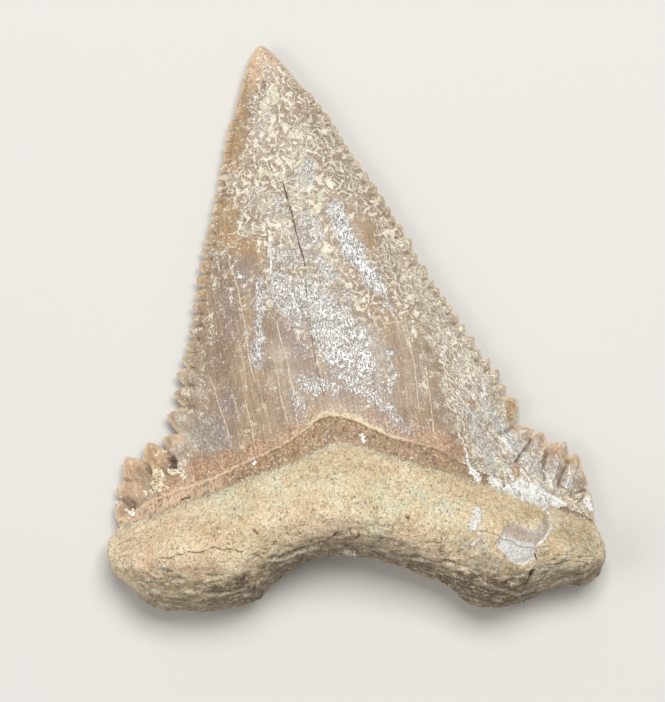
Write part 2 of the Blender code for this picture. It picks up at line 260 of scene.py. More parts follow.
ROOT_EDGE = [
    (-21.85, 7.00), (-22.30, 6.00), (-22.40, 5.10), (-22.25, 4.45), (-21.80, 3.55),
    (-20.55, 2.40), (-19.55, 1.25), (-18.55, 0.60), (-17.40, 0.15), (-16.00, 0.05),
    (-14.00, 0.00), (-11.75, 0.15), (-10.00, 0.55), (-8.80, 1.05), (-7.55, 2.40),
    (-5.95, 3.55), (-4.00, 4.60), (-1.50, 5.00), (1.20, 4.80), (3.90, 4.00), (6.60, 3.05),
    (7.90, 2.45), (9.25, 1.35), (10.15, 0.75), (11.05, 0.40), (11.95, 0.25), (12.85, 0.30),
    (13.90, 0.55), (15.55, 1.15), (17.50, 1.95), (19.55, 2.30), (20.75, 2.50), (21.80, 3.30),
    (22.20, 4.20), (22.40, 5.10), (22.40, 5.70), (22.20, 6.60), (21.65, 7.60),
]
# Widths of the serrations from the tip down. Each stands out by a share of its width.
LEFT_SERRATIONS = [
    1.0, 1.0, 1.1, 0.9, 1.0, 1.0, 0.75, 1.0, 1.1, 0.75, 1.0, 1.1, 1.35, 1.35, 1.35, 1.1, 1.3,
    1.1, 1.2, 1.2, 1.4, 1.7, 1.9, 2.5,
]
RIGHT_SERRATIONS = [
    1.3, 1.15, 1.4, 1.2, 0.95, 0.9, 0.9, 1.1, 1.25, 1.35, 1.3, 1.05, 0.85, 1.35, 1.6, 1.25,
    1.65, 1.0, 0.95, 0.95, 0.95, 1.1, 1.2, 1.55, 1.05, 1.25, 1.55, 1.3,
]
SERRATION_RISE_AT_TIP = 0.12
LEFT_RISE_AT_BASE, RIGHT_RISE_AT_BASE = 0.58, 0.50
SERRATION_GROWTH = 0.85
SERRATION_PEAK, SERRATION_GIRTH = 0.40, 1.3
ROUNDED_SHAPE, POINTED_SHAPE = 0.65, 1.3
SERRATION_GROOVE = (0.08, 0.75)

# Heights and depths of the two faces, and the widths over which they change.
EDGE_HEIGHT_CROWN, EDGE_HEIGHT_ROOT = 1.45, 3.0
EDGE_CHANGE_TOP, EDGE_CHANGE_LENGTH = 10.0, 5.0
CROWN_RISE, CROWN_FOOT = 6.9, 14.0
CROWN_TAPER, CROWN_FLATNESS, CROWN_ROUNDING = 0.85, 2.1, 1.15
ROOT_RISE_MIDDLE, ROOT_RISE_LOBES, LOBE_REACH = 8.0, 6.2, 19
ROOT_ROUNDING_LOBES, ROOT_ROUNDING_ARCH = 5.6, 3.4
ARCH_MIDDLE, ARCH_HALF_WIDTH = 0.5, 7.5
ROOT_SWELL, SWELL_AT_LINE, ROOT_TOP = 5.5, 0.12, 7.6
BEVEL_SLOPE, OUTER_BEVEL_SLOPE = 0.85, 0.68
EDGE_FADE, EDGE_BLEND = 2.0, 0.15
FLAT_FACE_ROUNDING, FLAT_FACE_SAG, FLAT_FACE_WEAR = 3.4, 0.35, 0.05
TIP_LENGTH, OUTER_FLATNESS = 9.0, 2.6
OUTER_HOLLOW_DEPTH, OUTER_HOLLOW_BELOW, OUTER_HOLLOW_WIDTH = 0.45, 1.3, 1.5
OUTER_ENAMEL_BLEND = 0.9
ENAMEL_LEDGE, LEDGE_WIDTH = 0.22, 0.3
NECK_GROOVE, NECK_GROOVE_WIDTH, NECK_BLEND = 0.30, 0.9, 0.4
CROWN_LUMPS, ROOT_LUMPS = (7.0, 0.16), (3.4, 0.24)

# Where the enamel ends and the root begins on the inner face, and where the enamel ends on the outer.
ENAMEL_LINE = [
    (-21.40, 8.20), (-20.15, 8.60), (-18.40, 9.75), (-16.00, 10.60), (-12.95, 11.60),
    (-9.85, 13.05), (-6.80, 14.45), (-5.00, 15.60), (-3.80, 16.55), (-3.10, 17.00), (-2.40, 17.15),
    (-1.30, 17.05), (-0.40, 16.85), (0.60, 16.40), (2.10, 15.65), (3.50, 15.10), (6.10, 14.55),
    (7.70, 14.00), (9.15, 13.20), (12.70, 11.60), (14.55, 10.75), (16.80, 9.90),
    (20.05, 8.95), (21.15, 8.40),
]
ROOT_LINE = [
    (-21.40, 7.95), (-19.05, 8.35), (-16.00, 9.55), (-12.95, 10.45), (-9.85, 11.75),
    (-6.75, 12.70), (-3.80, 14.10), (-1.85, 14.90), (0.10, 14.70), (3.00, 13.75), (5.75, 12.80),
    (9.10, 12.00), (11.60, 11.25), (14.50, 10.45), (21.15, 8.25),
]
OUTER_ENAMEL_LINE = [
    (-21.3, 8.8), (-14.0, 8.9), (-7.0, 10.2), (0.0, 11.0), (7.0, 10.2), (14.0, 9.0), (21.2, 8.8),
]

# Steps of the mesh. Rings of points lie close to the outline where the sides are steep.
OUTLINE_STEP = 0.12
CROWN_ROWS, ROW_HALF_HEIGHT, ROWS_SMOOTHED = 160, 0.9, 9
INNER_STEP, OUTER_STEP = 0.134, 0.36
EDGE_CLEARANCE = 0.10
STEEP_RINGS, STEEP_BELOW = (0.006, 0.025, 0.06), 7.5

# Chips along the root's outline: their depth, and the sizes of the lumps that they follow.
CHIP_DEPTH, FINE_CHIPS, WIDE_CHIPS = 0.13, 0.35, 1.1


def smoothstep(value):
    """0 below 0 and 1 above 1, with a soft rise between."""
    t = np.clip(value, 0.0, 1.0)
    return t * t * (3.0 - 2.0 * t)


def curve_through(points, step):
    """Points about a step apart on a Catmull-Rom curve through the given ones."""
    p = np.array(points, float)
    p = np.vstack([2 * p[0] - p[1], p, 2 * p[-1] - p[-2]])
    found = []
    for a, b, c, d in zip(p, p[1:], p[2:], p[3:]):
        count = max(1, round(math.dist(b, c) / step))
        for t in np.arange(count) / count:
            bend, twist = 2 * a - 5 * b + 4 * c - d, 3 * b - a - 3 * c + d
            found.append(0.5 * (2 * b + (c - a) * t + bend * t**2 + twist * t**3))
    return np.array([*found, p[-2]])


def saw_edge(edge, widths, rise_at_base):
    """(outline points of one cutting edge from the tip down, a short groove inwards from each notch)."""
    line = curve_through(edge, 0.1)
    along = np.r_[0, np.cumsum(np.hypot(*np.diff(line, axis=0).T))]
    side = 1 if edge[-1][0] > edge[0][0] else -1

    def place(distance, outwards):
        """A point so far along the edge from the tip, and so far out from it."""
        x, y = (np.interp(distance, along, line[:, k]) for k in (0, 1))
        span = [distance - 0.4, distance + 0.4]
        way = [np.diff(np.interp(span, along, line[:, k]))[0] for k in (0, 1)]
        way = way / np.hypot(*way)
        return np.array([x - side * way[1] * outwards, y + side * way[0] * outwards])

    notches = along[-1] - sum(widths) + np.r_[0, np.cumsum(widths)]
    outline = [place(s, 0) for s in np.arange(0, notches[0], OUTLINE_STEP)]
    for start, width in zip(notches, widths):
        share = (start + width / 2) / along[-1]
        growth = (rise_at_base - SERRATION_RISE_AT_TIP) * share**SERRATION_GROWTH
        rise = width * (SERRATION_RISE_AT_TIP + growth)
        count = round(width * SERRATION_GIRTH / OUTLINE_STEP)
        for t in np.arange(count) / count:
            falling = 1 - 0.5 * (1 - t) / (1 - SERRATION_PEAK)
            bent = 0.5 * t / SERRATION_PEAK if t < SERRATION_PEAK else falling
            # Serrations are rounded near the tip, and pointed near the cusplets.
            rounded = math.sin(math.pi * bent) ** ROUNDED_SHAPE
            pointed = 1 - abs(2 * bent - 1) ** POINTED_SHAPE
            outline.append(place(start + t * width, rise * (rounded + (pointed - rounded) * share**2)))
    grooves = [
        (*SERRATION_GROOVE, tuple(place(notch, 0.1)), tuple(place(notch - 0.1, -0.4 * width)))
        for notch, width in zip(notches, widths)
    ]
    return np.array(outline), grooves


def make_outline():
    """(the closed outline, anticlockwise from the tip, and the grooves between the serrations)."""
    left, left_grooves = saw_edge(LEFT_EDGE, LEFT_SERRATIONS, LEFT_RISE_AT_BASE)
    right, right_grooves = saw_edge(RIGHT_EDGE, RIGHT_SERRATIONS, RIGHT_RISE_AT_BASE)
    left_side = curve_through([LEFT_EDGE[-1], *LEFT_CUSPLETS], OUTLINE_STEP)
    right_side = curve_through([RIGHT_EDGE[-1], *RIGHT_CUSPLETS], OUTLINE_STEP)
    root = curve_through(ROOT_EDGE, OUTLINE_STEP)
    outline = np.vstack([left, left_side, root, right_side[::-1], right[:0:-1]])
    return outline, left_grooves + right_grooves


def inwards_from(outline):
    """The way inwards at each point of the outline, one long."""
    along = np.roll(outline, -1, axis=0) - np.roll(outline, 1, axis=0)
    return np.c_[-along[:, 1], along[:, 0]] / np.hypot(*along.T)[:, None]


def depth_in(outline, points):
    """Distance of each point from the outline."""
    fine = curve_through([*outline, outline[0]], 0.03)
    tree = kdtree.KDTree(len(fine))
    for i, (x, y) in enumerate(fine):
        tree.insert((x, y, 0.0), i)
    tree.balance()
    return np.array([tree.find((x, y, 0.0))[2] for x, y in points])


def inside(outline, points):
    """Whether each point is inside the outline, by counting the edges to its right, row by row."""
    a, b = outline, np.roll(outline, -1, axis=0)
    found = np.zeros(len(points), bool)
    for y in np.unique(points[:, 1]):
        row = points[:, 1] == y
        spans = (a[:, 1] > y) != (b[:, 1] > y)
        start, run = a[spans], b[spans] - a[spans]
        crossing = start[:, 0] + (y - start[:, 1]) * run[:, 0] / run[:, 1]
        found[row] = (crossing[:, None] > points[row, 0]).sum(axis=0) % 2 == 1
    return found


def line_at(points, x):
    """The height y of a line from left to right, at each x."""
    line = curve_through(points, 0.5)
    return np.interp(x, *line.T)


def crown_share(outline, x, y):
    """How far across the crown each point is: -1 at its left edge, 0 midway and 1 at its right edge."""
    tip_at = int(np.argmax(outline[:, 1]))
    outline = np.roll(outline, -tip_at, axis=0)
    left = outline[: int(np.argmin(outline[:, 0])) + 1]
    right = np.vstack([outline[int(np.argmax(outline[:, 0])) :], outline[:1]])
    rows = np.linspace(0, TIP[1], CROWN_ROWS)
    near_left = [np.abs(left[:, 1] - row) < ROW_HALF_HEIGHT for row in rows]
    near_right = [np.abs(right[:, 1] - row) < ROW_HALF_HEIGHT for row in rows]
    reach_left = [left[near, 0].min(initial=TIP[0]) for near in near_left]
    reach_right = [right[near, 0].max(initial=TIP[0]) for near in near_right]
    # The serrations are smoothed away, so that they don't ripple the crown.
    smooth = np.hanning(ROWS_SMOOTHED) / np.hanning(ROWS_SMOOTHED).sum()
    padded = (np.pad(reach, ROWS_SMOOTHED // 2, mode="edge") for reach in (reach_left, reach_right))
    low, high = (np.interp(y, rows, np.convolve(reach, smooth, mode="valid")) for reach in padded)
    return np.clip((2 * x - low - high) / np.maximum(high - low, 0.4), -1, 1)


def edge_height(y):
    """Height of the outline, where the two faces meet."""
    on_root = smoothstep((EDGE_CHANGE_TOP - y) / EDGE_CHANGE_LENGTH)
    return EDGE_HEIGHT_CROWN + (EDGE_HEIGHT_ROOT - EDGE_HEIGHT_CROWN) * on_root


def rim(depth, width):
    """0 at the outline and 1 from a width inside it, by a quarter circle."""
    return np.sqrt(1 - (1 - np.clip(depth / width, 0, 1)) ** 2)


def soft_least(a, b, blend):
    """The lesser of two heights, with a rounded edge between them."""
    near = np.clip(0.5 + 0.5 * (b - a) / blend, 0, 1)
    return b + (a - b) * near - blend * near * (1 - near)


def rough(x, y, size, layer, z=None):
    """Smooth unevenness of about -1 to 1, in lumps of about a size in millimetres."""
    z = np.zeros(len(x)) if z is None else z
    places = (Vector((a / size, b / size, c / size + layer)) for a, b, c in zip(x, y, z))
    return np.array([noise.noise(place) for place in places])


def crown_inner(share, y):
    """How far the crown bulges above its edge."""
    grown = np.clip((TIP[1] + 0.2 - y) / (TIP[1] - CROWN_FOOT), 0, 1.15)
    return CROWN_RISE * grown**CROWN_TAPER * (1 - np.abs(share) ** CROWN_FLATNESS) ** CROWN_ROUNDING


def inner_skin(outline, x, y, depth):
    """Height of the upper, inner face."""
    base = edge_height(y)
    enamel_y, root_y = line_at(ENAMEL_LINE, x), line_at(ROOT_LINE, x)
    crown = base + crown_inner(crown_share(outline, x, y), y)
    crown += CROWN_LUMPS[1] * rough(x, y, CROWN_LUMPS[0], 1.0) * rim(depth, EDGE_FADE)
    crown = base + soft_least(crown - base, BEVEL_SLOPE * depth, EDGE_BLEND)
    neck = edge_height(root_y) + crown_inner(crown_share(outline, x, root_y), root_y)
    at_lobes = smoothstep(np.abs(x) / LOBE_REACH)
    full = EDGE_HEIGHT_ROOT + ROOT_RISE_MIDDLE + (ROOT_RISE_LOBES - ROOT_RISE_MIDDLE) * at_lobes
    swell = smoothstep((root_y - y) / ROOT_SWELL + SWELL_AT_LINE)
    root = neck + NECK_GROOVE * smoothstep((root_y - y) / NECK_GROOVE_WIDTH) + (full - neck) * swell
    at_arch = np.exp(-(((x - ARCH_MIDDLE) / ARCH_HALF_WIDTH) ** 4))
    rounding = ROOT_ROUNDING_LOBES + (ROOT_ROUNDING_ARCH - ROOT_ROUNDING_LOBES) * at_arch
    root = base + (root - base) * rim(depth, rounding)
    root += ROOT_LUMPS[1] * rough(x, y, ROOT_LUMPS[0], 2.0) * rim(depth, EDGE_FADE)
    on_crown = smoothstep((y - root_y) / (enamel_y - root_y + NECK_BLEND))
    ledge = ENAMEL_LEDGE * smoothstep((y - enamel_y) / LEDGE_WIDTH + 0.5) * rim(depth, EDGE_FADE)
    return root + (crown - root) * on_crown + ledge - ENAMEL_LEDGE * rim(depth, EDGE_FADE) * on_crown


def outer_skin(outline, x, y, depth):
    """Height of the lower, outer face, worn flat at 0 where it would bulge below."""
    base = edge_height(y)
    from_tip = smoothstep((TIP[1] - y) / TIP_LENGTH)
    across = 1 - np.abs(crown_share(outline, x, y)) ** OUTER_FLATNESS
    bulge = (base + FLAT_FACE_SAG) * across * from_tip
    crown = base - soft_least(bulge, OUTER_BEVEL_SLOPE * depth, EDGE_BLEND)
    lumps = ROOT_LUMPS[1] * rough(x, y, ROOT_LUMPS[0], 3.0) * rim(depth, EDGE_FADE)
    root = base * (1 - rim(depth, FLAT_FACE_ROUNDING)) - FLAT_FACE_WEAR + lumps
    enamel_y = line_at(OUTER_ENAMEL_LINE, x)
    below_enamel = (y - enamel_y + OUTER_HOLLOW_BELOW) / OUTER_HOLLOW_WIDTH
    hollow = OUTER_HOLLOW_DEPTH * np.exp(-(below_enamel**2)) * rim(depth, 3.0)
    on_crown = smoothstep((y - enamel_y) / OUTER_ENAMEL_BLEND + 0.5)
    return np.maximum(root + hollow + (crown - root - hollow * 0.25) * on_crown, 0.0)


def lattice(outline, step):
    """Points a step apart in a triangular pattern inside the outline, and rings close to it round
    the root, where the sides are steep."""
    rise = step * math.sqrt(3) / 2
    low, high = outline.min(axis=0), outline.max(axis=0)
    rows = np.arange(low[1], high[1], rise)
    across = np.arange(low[0], high[0], step)
    shifts = [0.5 * step * (row % 2) for row in range(len(rows))]
    points = np.vstack([np.c_[across + shift, np.full(len(across), y)] for shift, y in zip(shifts, rows)])
    points = points[inside(outline, points)]
    points = points[depth_in(outline, points) > EDGE_CLEARANCE]
    steep = outline[:, 1] < STEEP_BELOW
    rings = [(outline + inwards_from(outline) * depth)[steep] for depth in STEEP_RINGS]
    return np.vstack([points, *rings])


def triangulate(outline, points):
    """(points, triangles facing up). A point is added midway on each side that joins two points of
    the outline across the tooth, since the two skins may meet at the outline only."""
    count = len(outline)
    edges = [(i, (i + 1) % count) for i in range(count)]
    while True:
        places = [Vector(p) for p in np.vstack([outline, points])]
        triangles = np.array(delaunay_2d_cdt(places, edges, [], 1, 1e-7)[2])
        sides = np.vstack([triangles[:, [0, 1]], triangles[:, [1, 2]], triangles[:, [2, 0]]])
        sides = np.sort(sides, axis=1)
        sides = np.unique(sides[sides[:, 1] < count], axis=0)
        gap = sides[:, 1] - sides[:, 0]
        across = sides[(gap > 1) & (gap < count - 1)]
        if not len(across):
            return points, triangles
        points = np.vstack([points, (outline[across[:, 0]] + outline[across[:, 1]]) / 2])


# Marks on the inner face, in millimetres like the outline. A stroke is its half-width, its strength
# and its points. One point makes a round spot.

# Enamel that was never etched, and stays smooth and brown.
SOUND = [
    (1.08, 1, (-10.1, 31.5), (-9.2, 29.3), (-9.6, 26.1)), (0.81, 0.8, (-12.2, 31.0), (-11.5, 28.4)),
    (1.35, 0.9, (-11.9, 28.1), (-11.6, 24.4), (-11.2, 20.7), (-10.4, 16.1)),
    (1.26, 0.95, (-7.6, 25.6), (-6.7, 23.1), (-6.0, 21.0), (-6.4, 16.4)),
    (1.26, 1, (-9.3, 20.6), (-8.2, 16.1)), (0.90, 0.6, (-13.7, 19.1), (-12.7, 17.9)),
    (0.54, 0.9, (1.5, 25.8), (1.9, 23.2), (1.4, 21.2)),
    (1.17, 0.9, (3.7, 25.4), (4.0, 22.4), (4.5, 19.2), (4.9, 16.0)), (0.81, 0.7, (6.1, 18.8), (7.4, 15.9)),
    (0.81, 0.7, (-2.8, 18.9), (-0.6, 18.3)), (0.90, 0.8, (0.4, 35.1), (1.4, 33.0)),
    (1.17, 0.9, (-11.9, 37.2), (-11.9, 34.1)), (0.81, 0.8, (-11.1, 33.1), (-8.8, 32.2)),
    (0.81, 0.7, (-10.8, 45.1), (-11.4, 40.7)), (0.72, 0.8, (-9.2, 51.2), (-9.7, 49.3), (-10.2, 46.9)),
    (0.72, 0.5, (-8.5, 51.2), (-7.4, 49.8)), (0.72, 0.5, (-13.5, 28.2), (-14.2, 24.2)),
    (1.08, 0.7, (-18.7, 14.7), (-16.9, 15.6)), (0.81, 0.8, (-10.4, 46.7), (-11.6, 40.7), (-12.7, 37.1)),
    (0.72, 0.7, (-13.1, 34.2), (-13.8, 31.1), (-14.2, 28.3)), (0.81, 0.7, (17.1, 15.6), (18.4, 13.2)),
    (0.81, 0.7, (19.5, 13.8), (20.2, 11.9)), (0.63, 0.7, (15.5, 16.2), (14.5, 17.0)),
    (0.72, 0.6, (13.8, 19.4), (14.1, 17.8)), (0.90, 0.8, (-20.5, 13.3), (-20.0, 10.6)),
]
# Crazed enamel, on which white glints are painted as highlights.
GLINTING = [
    (0.81, 1.25, (-1.8, 36.0), (-1.0, 34.1), (-0.4, 32.9), (0.1, 31.8)),
    (0.72, 0.6, (-4.2, 35.4), (-3.7, 33.7)), (0.54, 1.4, (0.7, 31.1), (1.5, 29.8), (2.3, 28.8)),
    (0.36, 0.45, (2.3, 28.7), (3.2, 27.2)), (0.81, 0.65, (-3.1, 31.2), (-2.4, 29.8)),
    (1.17, 0.75, (-7.0, 29.3), (-6.0, 27.8), (-5.1, 26.7)),
    (1.35, 0.85, (-4.4, 28.7), (-3.2, 27.0), (-1.9, 26.3)),
    (1.35, 0.9, (-2.8, 25.4), (-1.9, 23.7), (-1.1, 22.1)),
    (0.99, 0.9, (-0.6, 25.5), (0.3, 23.7), (0.7, 21.6)), (1.08, 0.65, (-1.1, 21.0), (0.5, 19.9)),
    (0.72, 0.5, (-3.5, 20.5), (-1.9, 19.6)), (0.81, 0.6, (0.9, 20.1), (2.1, 18.7), (2.8, 17.6)),
    (0.45, 0.6, (-8.5, 29.9), (-8.6, 28.6), (-8.8, 26.0), (-8.9, 23.4), (-9.0, 21.9)),
    (0.54, 0.5, (2.8, 23.1), (3.2, 21.1), (3.0, 19.6)), (0.63, 0.55, (-4.8, 20.4), (-3.7, 19.5)),
    (0.81, 0.5, (-7.1, 32.1), (-5.5, 31.3)), (0.72, 0.45, (-5.4, 18.9), (-4.9, 17.4)),
    (0.54, 0.5, (-7.1, 37.1), (-6.6, 36.3)), (0.63, 0.55, (-4.3, 40.6), (-4.5, 39.1)),
    (0.72, 0.35, (-5.1, 34.4), (-4.2, 31.2)), (0.63, 0.35, (-2.4, 28.7), (-0.6, 27.8)),
    (0.90, 0.3, (-13.6, 16.8), (-12.7, 16.2), (-12.1, 15.3)),
    (0.81, 0.3, (-14.2, 15.6), (-13.5, 14.9), (-12.6, 14.4)),
    (0.63, 0.4, (3.4, 17.1), (4.3, 16.2), (4.9, 15.7)),
    (0.81, 0.45, (10.9, 16.7), (11.2, 15.3), (11.8, 14.0), (12.2, 12.8)),
    (0.54, 0.5, (9.7, 18.0), (10.4, 17.3)), (0.40, 0.35, (16.2, 14.9), (15.9, 13.0)),
    (0.40, 0.35, (18.1, 13.9), (17.9, 12.2)), (0.36, 0.35, (19.7, 12.9), (19.3, 11.4)),
    (0.63, 0.4, (13.4, 16.3), (14.6, 15.2)), (0.54, 0.6, (11.9, 18.6), (13.0, 16.6)),
    (0.45, 0.7, (12.7, 17.2), (13.6, 16.2), (14.3, 14.8)), (0.36, 0.7, (14.7, 14.3), (15.6, 13.1)),
    (0.36, 0.6, (10.2, 16.6), (11.2, 15.3), (12.1, 13.9)), (0.30, 0.6, (16.5, 13.4), (17.2, 12.2)),
]
# Enamel etched in loops, like worm tracks.
WORMY = [
    (0.72, 0.8, (-8.3, 49.6), (-7.9, 48.2)),
    (1.80, 1, (-7.7, 47.1), (-6.5, 42.2), (-4.7, 38.0), (-5.1, 34.7)),
    (1.35, 0.9, (-4.0, 41.8), (-0.6, 36.7)), (0.81, 0.9, (-9.7, 40.1), (-9.2, 34.6)),
    (0.90, 0.9, (-12.2, 38.7), (-10.0, 37.2)), (1.08, 0.7, (2.6, 32.6), (5.8, 29.1)),
    (0.90, 0.6, (-1.1, 27.8), (2.1, 26.0)),
]
# Cream blotches, and thin pale veins.
CREAM = [
    (0.45, 1, (-7.5, 47.4), (-7.3, 46.8)), (0.36, 1, (-5.8, 43.1), (-5.1, 43.2)),
    (0.27, 0.8, (-4.8, 41.3), (-4.9, 40.6), (-5.8, 40.1)),
    (0.36, 0.9, (-3.1, 37.8), (-3.5, 36.3), (-4.2, 35.8)),
    (0.36, 0.7, (-8.9, 39.4), (-8.0, 39.8), (-6.7, 39.3)), (0.32, 0.7, (-8.0, 44.5), (-7.8, 43.2)),
    (0.36, 0.8, (-8.5, 46.0), (-8.1, 46.6)), (0.27, 0.6, (-6.6, 38.4), (-6.9, 39.2)),
    (0.36, 0.6, (-4.7, 39.0), (-4.0, 37.4)), (0.27, 0.5, (-4.4, 30.6), (-4.2, 27.8), (-4.0, 25.0)),
    (0.27, 0.5, (-0.6, 28.0), (0.9, 27.5)), (0.32, 0.7, (-2.8, 32.2), (-2.4, 31.2)),
    (0.36, 0.6, (-10.6, 34.9), (-9.6, 34.2), (-8.5, 34.6)), (0.27, 0.6, (10.1, 23.4), (10.8, 21.7)),
    (0.36, 0.5, (13.0, 18.2), (13.5, 16.9)),
]
VEINS = [
    (0.08, 0.9, (-10.2, 36.5), (-10.4, 35.2), (-10.7, 34.3), (-11.7, 34.1)),
    (0.07, 0.6, (-13.1, 34.9), (-12.2, 34.0)), (0.12, 1, (-7.8, 33.6), (-7.7, 32.0), (-7.7, 30.2)),
    (0.09, 0.8, (-7.7, 28.8), (-7.4, 27.9), (-6.9, 27.1)),
    (0.08, 0.7, (-13.3, 32.6), (-12.7, 32.2), (-12.5, 31.5), (-12.4, 30.8)),
    (0.10, 0.8, (-2.8, 37.0), (-2.0, 36.0), (-1.9, 35.4)),
    (0.07, 0.6, (0.3, 30.8), (1.3, 31.4), (2.3, 30.6), (2.7, 29.5)),
    (0.07, 0.5, (4.1, 25.9), (4.5, 25.4), (4.7, 23.8)),
    (0.09, 0.8, (-8.2, 48.3), (-8.0, 46.2), (-7.6, 44.2), (-7.3, 43.1), (-7.0, 41.6)),
    (0.11, 0.7, (3.6, 26.2), (2.9, 27.0), (2.1, 27.7)),
    (0.08, 0.6, (-11.0, 38.2), (-10.6, 37.3), (-10.0, 36.1)),
    (0.09, 0.7, (-9.7, 38.9), (-9.2, 37.6), (-9.9, 36.7)),
    (0.08, 0.8, (13.4, 14.3), (14.4, 15.5), (15.4, 16.4)),
    (0.08, 0.9, (14.0, 13.4), (15.1, 15.0), (16.0, 15.8)),
    (0.07, 0.7, (14.7, 12.7), (15.4, 13.8), (16.2, 15.2)),
    (0.08, 0.8, (15.6, 12.3), (16.2, 13.5), (16.9, 14.3)),
    (0.07, 0.7, (16.6, 11.8), (17.1, 12.9), (17.6, 14.0)),
    (0.08, 0.8, (17.4, 11.5), (17.9, 12.8), (18.5, 14.1)),
    (0.07, 0.7, (18.3, 11.1), (18.7, 12.2), (19.3, 13.4)),
    (0.07, 0.7, (19.1, 10.6), (19.7, 11.7), (20.0, 12.7)),
    (0.10, 0.8, (8.6, 20.0), (10.0, 18.2), (11.5, 16.4), (12.7, 14.9)),
    (0.08, 0.8, (9.5, 20.4), (10.8, 18.8), (12.2, 17.2), (13.7, 15.9)),
    (0.08, 0.7, (10.2, 15.2), (11.2, 14.2), (12.7, 13.4), (13.9, 12.6)),
    (0.08, 0.7, (7.6, 23.3), (9.0, 21.5), (10.4, 20.3)),
    (0.08, 0.7, (10.6, 20.1), (11.5, 18.5), (12.2, 16.9)),
    (0.07, 0.6, (6.2, 26.5), (7.6, 24.7), (8.5, 23.4)),
    (0.07, 0.6, (11.6, 15.7), (12.3, 14.5), (13.8, 13.8)),
    (0.07, 0.6, (7.2, 21.4), (8.2, 19.6), (8.9, 17.9)),
    (0.09, 0.7, (8.7, 23.4), (9.3, 22.1), (10.2, 20.5), (11.2, 19.2), (12.2, 18.0)),
    (0.08, 0.7, (7.6, 23.3), (8.2, 21.9), (9.1, 20.4), (9.9, 19.2)),
]
# Stains of the enamel.
AMBER = [
    (0.72, 0.8, (-9.2, 50.6), (-10.1, 47.5)), (0.90, 1, (-10.8, 45.6), (-11.4, 40.7)),
    (1.08, 1, (-12.0, 37.2), (-11.9, 34.1)), (0.72, 0.8, (-10.9, 33.0), (-8.8, 32.4)),
    (0.90, 1, (-0.4, 35.6), (1.1, 33.0)), (0.54, 0.6, (-1.5, 36.9)), (0.54, 1, (14.2, 19.0), (13.8, 17.6)),
    (0.63, 0.6, (12.1, 20.8), (12.4, 19.8)), (0.63, 0.5, (9.8, 16.4), (10.5, 14.2)),
    (0.63, 0.8, (-20.6, 13.2), (-20.4, 11.5)), (0.54, 0.8, (-18.6, 14.8), (-18.2, 13.5)),
    (0.54, 0.5, (18.4, 15.0), (19.1, 13.6)), (0.54, 0.4, (-13.8, 29.2), (-13.2, 25.5)),
    (0.45, 0.6, (16.6, 15.8), (17.1, 14.8)), (0.90, 0.5, (1.4, 27.9), (2.6, 25.1)),
    (0.90, 0.3, (3.9, 25.0), (4.2, 20.6)), (0.45, 0.6, (19.8, 13.9), (20.1, 12.8)),
    (0.54, 0.5, (10.9, 16.2), (11.6, 14.8)), (0.72, 0.4, (-2.6, 45.1), (-1.7, 43.6)),
    (0.45, 0.7, (-13.8, 31.8), (-14.0, 30.2)), (0.54, 0.5, (3.2, 36.1), (3.7, 34.9)),
    (0.63, 0.5, (-16.9, 16.9), (-16.0, 16.3)), (0.36, 0.8, (10.4, 16.0), (10.7, 15.0), (11.0, 13.9)),
]
UMBER = [
    (0.63, 0.9, (-11.3, 29.5), (-11.3, 27.0), (-12.1, 24.0), (-12.2, 21.5)),
    (0.90, 0.7, (-12.3, 31.0), (-11.4, 28.4)), (0.54, 0.9, (-16.5, 13.3), (-15.7, 12.5)),
    (0.54, 0.6, (-13.6, 26.0), (-13.7, 23.5)), (0.54, 0.7, (-11.2, 20.2), (-11.0, 16.7)),
    (0.90, 0.45, (-13.3, 27.2), (-12.4, 22.6)), (0.99, 0.3, (4.5, 23.1), (6.1, 19.2), (7.4, 16.5)),
    (0.63, 0.5, (-1.1, 19.8), (-0.6, 18.4)), (0.63, 0.6, (1.4, 27.4), (1.9, 25.8)),
    (0.81, 0.5, (-5.1, 23.7), (-4.2, 21.2)), (0.90, 0.4, (-7.7, 18.8), (-6.4, 16.6)),
    (0.54, 0.5, (-18.8, 12.2), (-17.7, 12.8)), (0.54, 0.6, (-20.9, 10.3), (-19.5, 10.1)),
    (0.63, 0.5, (10.2, 15.2), (11.0, 13.7)), (0.45, 0.6, (14.7, 14.8), (14.2, 13.8)),
    (0.14, 0.9, (9.5, 16.6), (9.8, 15.8), (10.2, 14.8), (10.5, 14.2)),
    (0.20, 0.9, (-8.2, 29.0), (-8.0, 26.0), (-7.9, 23.8), (-7.9, 22.2)),
]
PEACH = [
    (0.90, 0.9, (-20.5, 13.2), (-20.2, 10.8)), (0.81, 0.9, (-18.6, 14.7), (-17.9, 12.8)),
    (0.63, 0.8, (-17.2, 16.2), (-16.4, 15.6)), (0.54, 0.7, (16.8, 15.6), (16.4, 14.4)),
    (0.63, 0.7, (18.4, 14.9), (18.2, 13.6)), (0.54, 0.7, (19.9, 13.9), (19.7, 12.6)),
    (0.81, 1, (-8.8, 51.4), (-9.0, 48.7)), (0.45, 0.6, (-8.0, 51.0), (-7.0, 49.9)),
    (0.63, 0.8, (-21.2, 9.0), (-20.9, 8.5)), (0.54, 0.6, (15.4, 16.2), (14.8, 15.6)),
]
